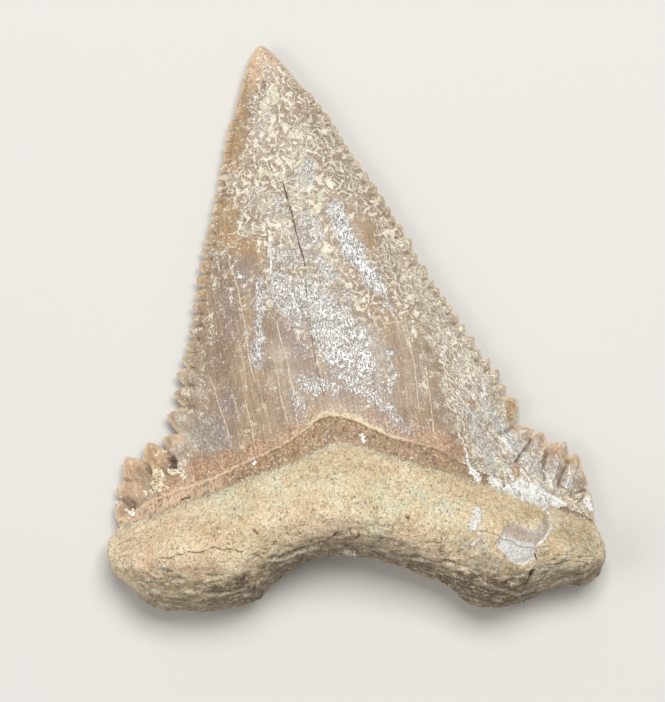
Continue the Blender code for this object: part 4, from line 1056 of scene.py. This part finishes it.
# The enamel ends in a raised lip, widest in the middle and at the left, gone at the far right.
lip_width = 0.09 + 0.06 * np.exp(-(((x - 0.2) / 3.0) ** 2)) + 0.10 * smoothstep((-9.0 - x) / 6.0)
lip_width *= 1 + 0.6 * small_shift[1]
lip = np.exp(-(((above_enamel - 0.06 - 0.6 * lip_width) / lip_width) ** 2))
lip *= smoothstep((10.0 - x) / 6.0)

# Relief in millimetres, raised along the surface's own direction. First the crown's.
WORM_RIDGE, WORM_BED, GLINT_DEPTH, GROOVE_DEPTH, HOLLOW_DEPTH = 0.11, 0.08, 0.04, 0.16, 0.30
LIP_HEIGHT, LIP_RIDGE_HEIGHT, CUSPLET_CREST_HEIGHT, NECK_GROOVE_DEPTH = 0.07, 0.05, 0.25, 0.05
CRUST_HEIGHT, CHALK_HEIGHT, CREAM_HEIGHT, VEIN_HEIGHT = 0.12, 0.10, 0.05, 0.05
loops = rough(x + 0.8 * rough(x, y, 1.9, 11.0), y + 0.8 * rough(x, y, 1.9, 12.0), 1.1, 13.0)
worm = smoothstep(1 - np.abs(loops) / 0.17)
relief = (WORM_RIDGE * worm - WORM_BED) * wormy - GLINT_DEPTH * glinting
raised = LIP_HEIGHT * lip + LIP_RIDGE_HEIGHT * lip_ridges - GROOVE_DEPTH * grooves
relief += raised + CUSPLET_CREST_HEIGHT * crests * rim(depth, 0.8) - NECK_GROOVE_DEPTH * neck_groove
lime_height = CRUST_HEIGHT * crust + CHALK_HEIGHT * chalk * (0.8 + 0.5 * small_shift[0])
relief += lime_height + CREAM_HEIGHT * cream + VEIN_HEIGHT * veins

# The hollows between the cusplets, and the root's: the spall and its rough floor, pits, the cut,
# the arch, folds, and the bone's own grain.
SPALL_DEPTH, SPALL_ROUGHNESS, PIT_DEPTH, CUT_DEPTH = 0.20, 0.05, 0.22, 0.7
CLEFT_DEPTH, ARCH_CREST_HEIGHT, FOLD_HEIGHT = 0.14, 0.12, 0.14
BONE_LUMPS, BONE_GRAIN, BONE_WRINKLES, BONE_WEAR = 0.06, 0.06, 0.20, 0.06
ENAMEL_GRAIN = 0.01
broken_out = (SPALL_DEPTH + SPALL_ROUGHNESS * small_shift[0]) * spall
relief -= broken_out + PIT_DEPTH * pits + CUT_DEPTH * cut + CLEFT_DEPTH * cleft - ARCH_CREST_HEIGHT * crest
relief -= HOLLOW_DEPTH * strokes(HOLLOW, mark_x, mark_y, 1.8)
relief += FOLD_HEIGHT * folds
wrinkles = rough(x * 0.30, y * 0.6, 0.55, 31.0, height * 1.1) * smoothstep((5.0 - depth) / 3.0)
fine = rough(x, y, 0.45, 32.0, height)
bone = BONE_LUMPS * rough(x, y, 1.3, 33.0, height) + BONE_GRAIN * fine + BONE_WRINKLES * wrinkles
is_root = above_root < 0
relief += np.where(is_root, bone - BONE_WEAR, 0.0)
inner_relief = relief * np.where(is_root, 1.0, rim(depth, 0.9))
relief = np.where(on_inner > 0, inner_relief, np.where(y < 8, bone, ENAMEL_GRAIN * fine))

SHARP_ANGLE = math.radians(60)
points = np.c_[x, y - TIP[1] / 2, height] + normals * relief[:, None]
points = np.clip(points * MM, cad_box[0], cad_box[1])
tooth_mesh.vertices.foreach_set("co", points.ravel())
tooth_mesh.update()
tooth_mesh.shade_smooth()
tooth_mesh.set_sharp_from_angle(angle=SHARP_ANGLE)

# What the finish reads from the mesh. The outer face has its own enamel line and even etching.
OUTER_ETCHING = 0.45
outer_line = y - line_at(OUTER_ENAMEL_LINE, x)
write_attribute(tooth_mesh, "depth", depth)
write_attribute(tooth_mesh, "above_enamel", np.where(on_inner > 0, above_enamel, outer_line))
write_attribute(tooth_mesh, "above_root", np.where(on_inner > 0, above_root, outer_line))
write_attribute(tooth_mesh, "etched", np.where(on_inner > 0, etched, OUTER_ETCHING))
marks = {
    "wormy": wormy, "glinting": glinting, "cream": cream, "veins": veins, "chalk": chalk,
    "crust": crust, "spall": spall, "pits": np.maximum(pits, cut), "cleft": cleft, "crest": crest,
    "folds": folds, "grooves": grooves, "lip": lip, "lip_ridges": lip_ridges, "crack": crack,
    "crack_near": crack_near, "growth": growth, "growth_near": growth_near,
    "neck_groove": neck_groove, "right_margin": right_margin,
    "spall_dark": strokes(SPALL_DARK, mark_x, mark_y, 1.3),
    "hollow": strokes(HOLLOW, mark_x, mark_y, 1.4),
    "crumbs": strokes(CRUMBS, line_x, line_y, 1.0) * sheltered,
}
STAINS = {
    "umber": UMBER, "mauve": MAUVE, "amber": AMBER, "pale": PALE, "peach": PEACH, "rusty": RUSTY,
    "pale_neck": PALE_NECK, "bleached": BLEACHED, "green": GREEN, "blush": BLUSH, "ochre": OCHRE,
    "grey_root": GREY_ROOT, "dirt_and_shade": DIRT_AND_SHADE,
}
marks.update((name, strokes(spots, mark_x, mark_y, 1.7)) for name, spots in STAINS.items())
for name, values in marks.items():
    write_attribute(tooth_mesh, name, values * on_inner)

# Tones of the enamel, of its etching and of its end.
TAN_DARK, TAN_LIGHT = tone(149, 128, 105), tone(173, 149, 122)
ETCHED_FLOOR, ETCHED_NET = tone(128, 109, 91), tone(240, 231, 211)
GLINT_GROUND, GLINT_WHITE = tone(138, 127, 118), tone(252, 250, 247)
GROWTH_CREAM, FLECK_WHITE = tone(228, 208, 180), tone(246, 239, 226)
CREAM_BLOTCH, VEIN_WHITE = tone(224, 220, 190), tone(242, 237, 226)
RIM_HIGHLIGHT_CREAM, GROOVE_SHADE_BROWN = tone(218, 194, 162), tone(100, 79, 58)
RUST_DARK, RUST_LIGHT = tone(152, 95, 57), tone(232, 186, 146)
LIP_TAN, LIP_CREAM = tone(228, 197, 161), tone(226, 210, 176)
HOLLOW_SHADE_BROWN = tone(74, 58, 46)

# Tones of the neck band, of the root, and of the lime.
BAND_DARK, BAND_LIGHT = tone(118, 91, 64), tone(175, 144, 109)
BAND_PATCH, BAND_FLECK = tone(148, 122, 98), tone(230, 208, 180)
BAND_SHADOW, NECK_GROOVE_BROWN = tone(98, 76, 56), tone(108, 82, 60)
NECK_PALE = tone(222, 193, 163)
BONE_SAND, BONE_CREAM = tone(236, 210, 168), tone(247, 230, 194)
FRINGE_GREY, EDGE_DIRT_AND_SHADE = tone(204, 194, 172), tone(116, 96, 70)
MOTTLE_TAN, MOTTLE_CREAM = tone(200, 164, 122), tone(252, 243, 220)
WRINKLE_SHADE_BROWN, WRINKLE_HIGHLIGHT_CREAM = tone(126, 104, 78), tone(240, 228, 200)
FIBRE_BROWN, PORE_BROWN = tone(146, 117, 76), tone(124, 93, 58)
BONE_FLECK = tone(242, 229, 196)
SPALL_WHITE, SPALL_GREY = tone(236, 236, 230), tone(192, 176, 162)
SPALL_FIBRE, CREST_HIGHLIGHT_CREAM = tone(156, 146, 130), tone(238, 226, 198)
CLEFT_SHADOW_AND_CREASE_BROWN, CRACK_BROWN = tone(78, 58, 40), tone(62, 42, 26)
CRUST_GREY, CRUST_WHITE = tone(184, 178, 162), tone(250, 250, 244)
CHALK_GREY, CHALK_WHITE = tone(207, 200, 184), tone(250, 247, 239)

# The stains, in the order in which they are laid: tone and strength.
ENAMEL_STAINS = {
    "umber": (tone(134, 110, 88), 0.75), "mauve": (tone(148, 132, 124), 0.9),
    "amber": (tone(174, 140, 98), 0.88), "pale": (tone(208, 202, 188), 0.6),
    "peach": (tone(216, 178, 142), 0.7),
}
ROOT_STAINS = {
    "bleached": (tone(255, 233, 192), 0.85), "green": (tone(230, 227, 194), 0.85),
    "blush": (tone(242, 202, 166), 0.75), "ochre": (tone(200, 168, 116), 0.7),
    "grey_root": (tone(162, 151, 127), 0.85), "dirt_and_shade": (tone(101, 80, 56), 0.9),
}
# How far the crown's streaks, and the net along its right margin, lean from upright.
AXIS_TURN, MARGIN_TURN = math.radians(10), math.radians(38)
ENAMEL_IOR = 1.55

# From here on a mark's name stands for the socket that reads it from the mesh.
skin = Finish("tooth_surface")
place = skin.places()
above_enamel, above_root = skin.read("above_enamel"), skin.read("above_root")
wobble = skin.noise(place, 1.3, 3.0) - 0.5
fine_wobble = skin.noise(place, 4.5, 2.0, 0.6) - 0.5
speckle = skin.noise(place, 4.6, 3.0, 0.8)
patches = skin.fade(skin.noise(place, 0.8, 3.0), 0.36, 0.64)


def stained(name):
    """A stained area, uneven inside."""
    return skin.read(name) * (patches * 0.8 + 0.5 + fine_wobble * 0.8)


def worms(value, step, high, low):
    """Winding lines where a noise is near every other multiple of a step, faded out from low to high."""
    waves = skin.make("ShaderNodeMath", {"operation": "PINGPONG"}, {0: value, 1: step})
    return skin.fade(waves * (1 / step), high, low)


def moved(vector, scale, distance):
    """Places moved about at random, to bend what is drawn there."""
    return skin.vector("ADD", vector, skin.scaled(skin.noise(place, scale, output="Color"), distance))


# Enamel: greyish tan, streaked along the crown, stained amber, umber and mauve.
streaks = skin.noise(skin.stretched(place, (0.22, 4.0, 1.0), AXIS_TURN), 1.0, 3.0, 0.7)
enamel = skin.mix(TAN_DARK, TAN_LIGHT, skin.fade(streaks + patches * 0.1, 0.40, 0.66))
for name, (stain, strength) in ENAMEL_STAINS.items():
    enamel = skin.mix(enamel, stain, stained(name) * strength)
rim_light = skin.fade(skin.read("depth") + wobble * 0.4, 0.50, 0.10)
hairs = skin.noise(skin.stretched(place, (0.9, 20.0, 1.0), AXIS_TURN), 1.0, 2.0)
hairs = skin.fade(abs(hairs - 0.5), 0.012, 0.0)
growth = skin.fade(abs(skin.read("growth") + fine_wobble * 0.08), 0.07, 0.02) * skin.read("growth_near")
growth = growth | hairs * 0.30 * patches

# Etching: a net of winding pale lines, loops near the tip and fine crazing down the middle, with white
# glints painted on it as highlights.
warped = moved(moved(place, 0.8, 1.3), 2.6, 0.28)
broken = skin.noise(place, 1.1, 3.0, 0.7)
winding = skin.noise(warped, 2.4, 1.5)
loops = worms(skin.noise(warped, 0.62, 1.5), 0.075, 0.55, 0.12)
flow = worms(skin.noise(skin.stretched(warped, (0.55, 1.6, 0.6), MARGIN_TURN), 1.0, 1.5), 0.08, 0.66, 0.22)
wormy, glinting, right = skin.read("wormy"), skin.read("glinting"), skin.read("right_margin")
etched = skin.read("etched") + (patches - 0.5) * 0.2
wide_etching = skin.fade(broken + etched * 0.40, 0.60, 0.76) | wormy * 0.85
wide_net = (loops * (1 - right) + flow * right) * wide_etching
close_net = worms(winding, 0.09, 0.50, 0.15) * skin.fade(broken + etched * 0.30, 0.56, 0.70)
net = wide_net | close_net * 0.75
hollows = skin.fade(skin.noise(place, 2.4, 2.0, 0.6), 0.52, 0.36) * (etched | wormy)
enamel = skin.mix(enamel, ETCHED_FLOOR, hollows * (1 - net) * 0.68)
enamel = skin.mix(enamel, ETCHED_NET, net * (wobble + right * 0.15 + 0.82))
# Painted highlights: white glints on the crazing, over a grey ground.
sparkle = skin.noise(skin.stretched(place, (0.13, 0.40, 0.24), AXIS_TURN), 1.0, 2.0, 0.65)
threads = skin.noise(warped, 3.4, 2.0)
glints = worms(threads, 0.12, 0.52, 0.18) * skin.fade(broken + glinting * 0.5, 0.60, 0.80)
glints = (glints | skin.fade(sparkle + glinting * 0.10, 0.585, 0.66)) * skin.fade(glinting, 0.02, 0.40)
enamel = skin.mix(enamel, GLINT_GROUND, glinting * (1 - glints) * 0.65)
enamel = skin.mix(enamel, GLINT_WHITE, glints * (glinting * 0.3 + 0.7))
enamel = skin.mix(enamel, GROWTH_CREAM, growth * skin.fade(speckle, 0.25, 0.45))
flecks = skin.fade(skin.noise(place, 5.6, 2.0, 0.6) + patches * 0.06, 0.66, 0.71)
flecks = flecks * skin.fade(etched, 0.0, 0.25)
enamel = skin.mix(enamel, FLECK_WHITE, flecks * 0.8)
cream = skin.fade(skin.read("cream") + fine_wobble * 1.2, 0.3, 0.9)
enamel = skin.mix(enamel, CREAM_BLOTCH, cream * 0.8)
veins = skin.fade(skin.read("veins") + fine_wobble * 1.3, 0.35, 0.85)
enamel = skin.mix(enamel, VEIN_WHITE, veins * 0.9)
# A pale highlight painted along the cutting edges and the serrations' tips.
enamel = skin.mix(enamel, RIM_HIGHLIGHT_CREAM, rim_light * (wobble * 2.0 + 0.55))
# The grooves between the serrations and the cusplets, painted dark as shade.
grooves = skin.read("grooves")
enamel = skin.mix(enamel, GROOVE_SHADE_BROWN, grooves * (wobble * 1.5 + 0.75))

# The iron stain along the enamel's end, its raised lip, and the hollows, painted dark as shade.
rust = skin.read("rusty") * skin.fade(fine_wobble + wobble * 0.5, -0.12, 0.16)
rust_tone = skin.mix(RUST_DARK, RUST_LIGHT, skin.fade(speckle, 0.41, 0.62))
enamel = skin.mix(enamel, rust_tone, rust * 0.70 + skin.read("rusty") * 0.28)
lip = skin.read("lip") * (fine_wobble * 3.0 + wobble + 0.95)
enamel = skin.mix(enamel, LIP_TAN, lip * 0.88)
enamel = skin.mix(enamel, LIP_CREAM, skin.read("lip_ridges") * (fine_wobble * 4.0 + 0.75))
enamel = skin.mix(enamel, HOLLOW_SHADE_BROWN, skin.read("hollow") * (fine_wobble * 2.0 + 0.90))

# The neck band: brown, streaked and flecked, darkest under the enamel's lip.
band_streaks = skin.noise(skin.stretched(place, (0.26, 0.70, 0.5), AXIS_TURN), 1.0, 3.0, 0.75)
band_grain = band_streaks + fine_wobble * 0.25
band = skin.mix(BAND_DARK, BAND_LIGHT, skin.fade(band_grain, 0.34, 0.60))
band = skin.mix(band, BAND_PATCH, patches * 0.4)
band_flecks = skin.fade(skin.noise(place, 4.4, 2.0, 0.6) + patches * 0.04, 0.59, 0.66)
band = skin.mix(band, BAND_FLECK, band_flecks * 0.7)
under_lip = skin.fade(above_enamel + fine_wobble * 0.1, -0.24, -0.06)
band = skin.mix(band, BAND_SHADOW, under_lip * 0.45)
band = skin.mix(band, NECK_GROOVE_BROWN, skin.read("neck_groove") * 0.35)
pale_neck = skin.read("pale_neck") * (skin.fade(band_grain, 0.38, 0.56) * 0.7 + 0.15)
band = skin.mix(band, NECK_PALE, pale_neck)

# The root: chalky bone with stains, mottling, fibres, pores and dirt, with painted shade round its base and
# in the arch, painted light and shade on its wrinkles, and painted highlights on its ridges.
root = skin.mix(BONE_SAND, BONE_CREAM, patches)
for name, (stain, strength) in ROOT_STAINS.items():
    root = skin.mix(root, stain, stained(name) * strength)
fringe = skin.fade(above_root + wobble * 0.8, -0.75, -0.15)
root = skin.mix(root, FRINGE_GREY, fringe * 0.6)
# Darker towards the outline: dirt, and painted shade where the sides turn down, away from the light.
edge_dirt_and_shade = skin.fade(skin.read("depth") + wobble * 2.4, 2.2, 0.1)
unbleached = 1 - skin.read("bleached") * 0.8
root = skin.mix(root, EDGE_DIRT_AND_SHADE, edge_dirt_and_shade * unbleached * 0.4)
mottle = skin.noise(place, 1.7, 3.0, 0.7)
root = skin.mix(root, MOTTLE_TAN, skin.fade(mottle, 0.47, 0.34) * 0.38)
root = skin.mix(root, MOTTLE_CREAM, skin.fade(mottle, 0.53, 0.64) * 0.4)
# Near the outline, darker and paler bands along the wrinkles, painted as their shade and highlights.
wrinkle_light_and_shade = skin.noise(skin.stretched(place, (1.1, 0.38, 0.38)), 1.0, 4.0, 0.7)
lower = skin.fade(skin.read("depth") + wobble * 1.5, 5.0, 2.0)
root = skin.mix(root, WRINKLE_SHADE_BROWN, skin.fade(wrinkle_light_and_shade, 0.47, 0.36) * lower * unbleached * 0.8)
root = skin.mix(root, WRINKLE_HIGHLIGHT_CREAM, skin.fade(wrinkle_light_and_shade, 0.54, 0.64) * lower * 0.8)
fibres = skin.noise(skin.stretched(place, (0.24, 0.56, 0.42)), 1.0, 3.0, 0.75)
root = skin.mix(root, FIBRE_BROWN, skin.fade(fibres, 0.46, 0.34) * 0.55)
pores = skin.noise(skin.stretched(moved(place, 2.2, 0.35), (0.20, 0.34, 0.28)), 1.0, 2.0, 0.7)
pores = skin.fade(pores + wobble * 0.12, 0.40, 0.33) * (patches * 0.6 + 0.4)
root = skin.mix(root, PORE_BROWN, pores * 0.7)
root = skin.mix(root, BONE_FLECK, skin.fade(skin.noise(place, 5.0, 2.0, 0.7), 0.58, 0.70) * 0.5)
spall = skin.fade(skin.read("spall") + fine_wobble * 0.5, 0.3, 0.7)
spall_tone = skin.mix(SPALL_WHITE, SPALL_GREY, skin.read("spall_dark"))
spall_tone = skin.mix(spall_tone, SPALL_FIBRE, skin.fade(fibres, 0.44, 0.34) * 0.5)
root = skin.mix(root, spall_tone, spall * 0.85)
# Painted highlights on the arch's crest and on the folds; the cleft painted dark as its shadow, with its
# creases.
ridges = skin.read("crest") | skin.read("folds") * 0.7
root = skin.mix(root, CREST_HIGHLIGHT_CREAM, ridges * (fine_wobble * 2.0 + 0.95))
root = skin.mix(root, CLEFT_SHADOW_AND_CREASE_BROWN, skin.read("cleft") * (fine_wobble * 2.0 + 0.55))

# The three together, with the lime, the pits and the cracks over them.
on_band = skin.fade(above_enamel + fine_wobble * 0.25, 0.05, -0.08)
on_root = skin.fade(above_root + fine_wobble * 0.8, 0.12, -0.16)
colour = skin.mix(skin.mix(enamel, band, on_band), root, on_root)
chalk = skin.read("chalk")
chalk = skin.fade(chalk * 1.7 + fine_wobble * 3.0 + wobble * 1.2, 0.45, 0.75) * skin.fade(chalk, 0.02, 0.15)
crust = skin.fade(skin.read("crust") + fine_wobble * 1.4 + wobble * 0.5, 0.35, 0.9)
crust_tone = skin.mix(CRUST_GREY, CRUST_WHITE, skin.fade(fibres, 0.36, 0.50))
colour = skin.mix(colour, crust_tone, crust * 0.92)
chalk_tone = skin.mix(CHALK_GREY, CHALK_WHITE, skin.fade(speckle, 0.36, 0.50))
colour = skin.mix(colour, chalk_tone, chalk * 0.95)
pits = skin.fade(skin.read("pits") + fine_wobble * 0.8, 0.30, 0.8)
crack_near = skin.read("crack_near")
crack = skin.fade(abs(skin.read("crack") + fine_wobble * 0.18) - crack_near * 0.03, 0.045, 0.0) * crack_near
crack = crack * skin.fade(skin.noise(place, 1.4, 2.0), 0.34, 0.46)
colour = skin.mix(colour, CRACK_BROWN, pits * 0.75 | crack * 0.9)
grain = speckle * 1.5 + streaks * 0.2 * (1 - on_root) + 0.17
colour = skin.scaled(colour, grain)

# Fine relief, in millimetres, and gloss.
enamel_height = net * 0.05 + glints * 0.05 + speckle * 0.06 + streaks * 0.02
enamel_height = enamel_height - growth * 0.02 - grooves * 0.03
root_height = skin.noise(place, 2.6, 4.0, 0.7) * 0.26 - pores * 0.07 + fibres * 0.08
body = enamel_height * (1 - on_root) + root_height * on_root + band_streaks * 0.06 * on_band * (1 - on_root)
body = body + (chalk | veins * (1 - on_band)) * 0.05 - crack * 0.12 - pits * 0.10
bump = skin.make("ShaderNodeBump", {}, {"Height": body, "Distance": MM, "Strength": 1.0})
gloss = 0.30 + net * 0.18 - glints * 0.06
roughness = gloss * (1 - on_band) + on_band * 0.45 + on_root * 0.33 + (chalk | crust) * 0.25
skin.put(skin.surface["Base Color"], colour)
skin.put(skin.surface["Roughness"], roughness)
skin.put(skin.surface["Normal"], bump)
skin.put(skin.surface["IOR"], ENAMEL_IOR)
tooth_mesh.materials.append(skin.material)

tooth = add_object("fossil_tooth", tooth_mesh)
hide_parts("tooth")
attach(tooth, "root")

# --- The sediment grains ---
# Crumbs of the bed that the tooth lay in, cemented on by lime where the cusplets and the arch
# sheltered them. Each is a rough little ball, sunk partly in the surface.
GRAINS_PER_SQUARE_METRE = 13e6
SMALLEST_GRAIN, LARGEST_GRAIN = 0.05 * MM, 0.20 * MM
GRAIN_ROUGHNESS, GRAIN_LUMPS_PER_METRE = 0.22 * MM, 6000.0
GRAIN_TURN = 6.28  # radians at most, about each axis
GRAIN_SEED = 5
LIME_TAN, LIME_CREAM = tone(206, 190, 152), tone(244, 236, 206)
LIME_BUMP = 0.05 * MM

lime = Finish("sediment_grains", Roughness=0.85)
lime_place = lime.places()
lime_patches = lime.fade(lime.noise(lime_place, 2.2, 3.0, 0.7), 0.36, 0.56)
lime.put(lime.surface["Base Color"], lime.mix(LIME_TAN, LIME_CREAM, lime_patches))
lime_bump = {"Height": lime.noise(lime_place, 9.0, 2.0), "Distance": LIME_BUMP}
lime.put(lime.surface["Normal"], lime.make("ShaderNodeBump", {}, lime_bump))

grain_group = bpy.data.node_groups.new("sediment_grains", "GeometryNodeTree")
grain_inputs = {
    "Tooth": ("NodeSocketGeometry", None), "Density": ("NodeSocketFloat", GRAINS_PER_SQUARE_METRE),
    "Smallest": ("NodeSocketFloat", SMALLEST_GRAIN), "Largest": ("NodeSocketFloat", LARGEST_GRAIN),
    "Roughness": ("NodeSocketFloat", GRAIN_ROUGHNESS), "Seed": ("NodeSocketInt", GRAIN_SEED),
    "Finish": ("NodeSocketMaterial", lime.material),
}
identifiers = {
    name: grain_group.interface.new_socket(name, in_out="INPUT", socket_type=kind).identifier
    for name, (kind, value) in grain_inputs.items()
}
grain_group.interface.new_socket("Grains", in_out="OUTPUT", socket_type="NodeSocketGeometry")
grains = Tree(grain_group)
given = {name: grains.make("NodeGroupInput", {}, {}, name) for name in grain_inputs}
share = grains.make("GeometryNodeInputNamedAttribute", {"data_type": "FLOAT"}, {"Name": "crumbs"})
spread = {"Mesh": given["Tooth"], "Density": share * given["Density"], "Seed": given["Seed"]}
spots = grains.make("GeometryNodeDistributePointsOnFaces", {}, spread)
ball = grains.make("GeometryNodeMeshIcoSphere", {}, {"Radius": 1.0, "Subdivisions": 1})
sizes = {2: given["Smallest"], 3: given["Largest"], "Seed": given["Seed"]}
size = grains.make("FunctionNodeRandomValue", {}, sizes, 1)
turn = grains.make("FunctionNodeRandomValue", {"data_type": "FLOAT_VECTOR"}, {1: (GRAIN_TURN,) * 3})
laying = {"Points": spots, "Instance": ball, "Rotation": turn, "Scale": size}
laid = grains.make("GeometryNodeInstanceOnPoints", {}, laying)
loose = grains.make("GeometryNodeRealizeInstances", {}, {"Geometry": laid})
where = grains.make("GeometryNodeInputPosition", {}, {})
lumpiness = {"Vector": where, "Scale": GRAIN_LUMPS_PER_METRE, "Detail": 1.0}
lumps = grains.make("ShaderNodeTexNoise", {}, lumpiness, "Color")
push = grains.scaled(grains.vector("SUBTRACT", lumps, (0.5, 0.5, 0.5)), given["Roughness"])
lumpy = grains.make("GeometryNodeSetPosition", {}, {"Geometry": loose, "Offset": push})
finished = grains.make("GeometryNodeSetMaterial", {}, {"Geometry": lumpy, "Material": given["Finish"]})
grains.make("NodeGroupOutput", {}, {"Grains": finished})

seed_bed = add_object("seed_bed", tooth_mesh.copy())
seed_bed.data.materials.clear()
growing = seed_bed.modifiers.new("grains", "NODES")
growing.node_group = grain_group
for name, (kind, value) in grain_inputs.items():
    if value is not None:
        growing[identifiers[name]] = value
evaluated = seed_bed.evaluated_get(bpy.context.evaluated_depsgraph_get())
grain_mesh = bpy.data.meshes.new_from_object(evaluated)
grain_mesh.shade_smooth()
bpy.data.objects.remove(seed_bed)
sediment = add_object("sediment_grains", grain_mesh)
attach(sediment, "root")
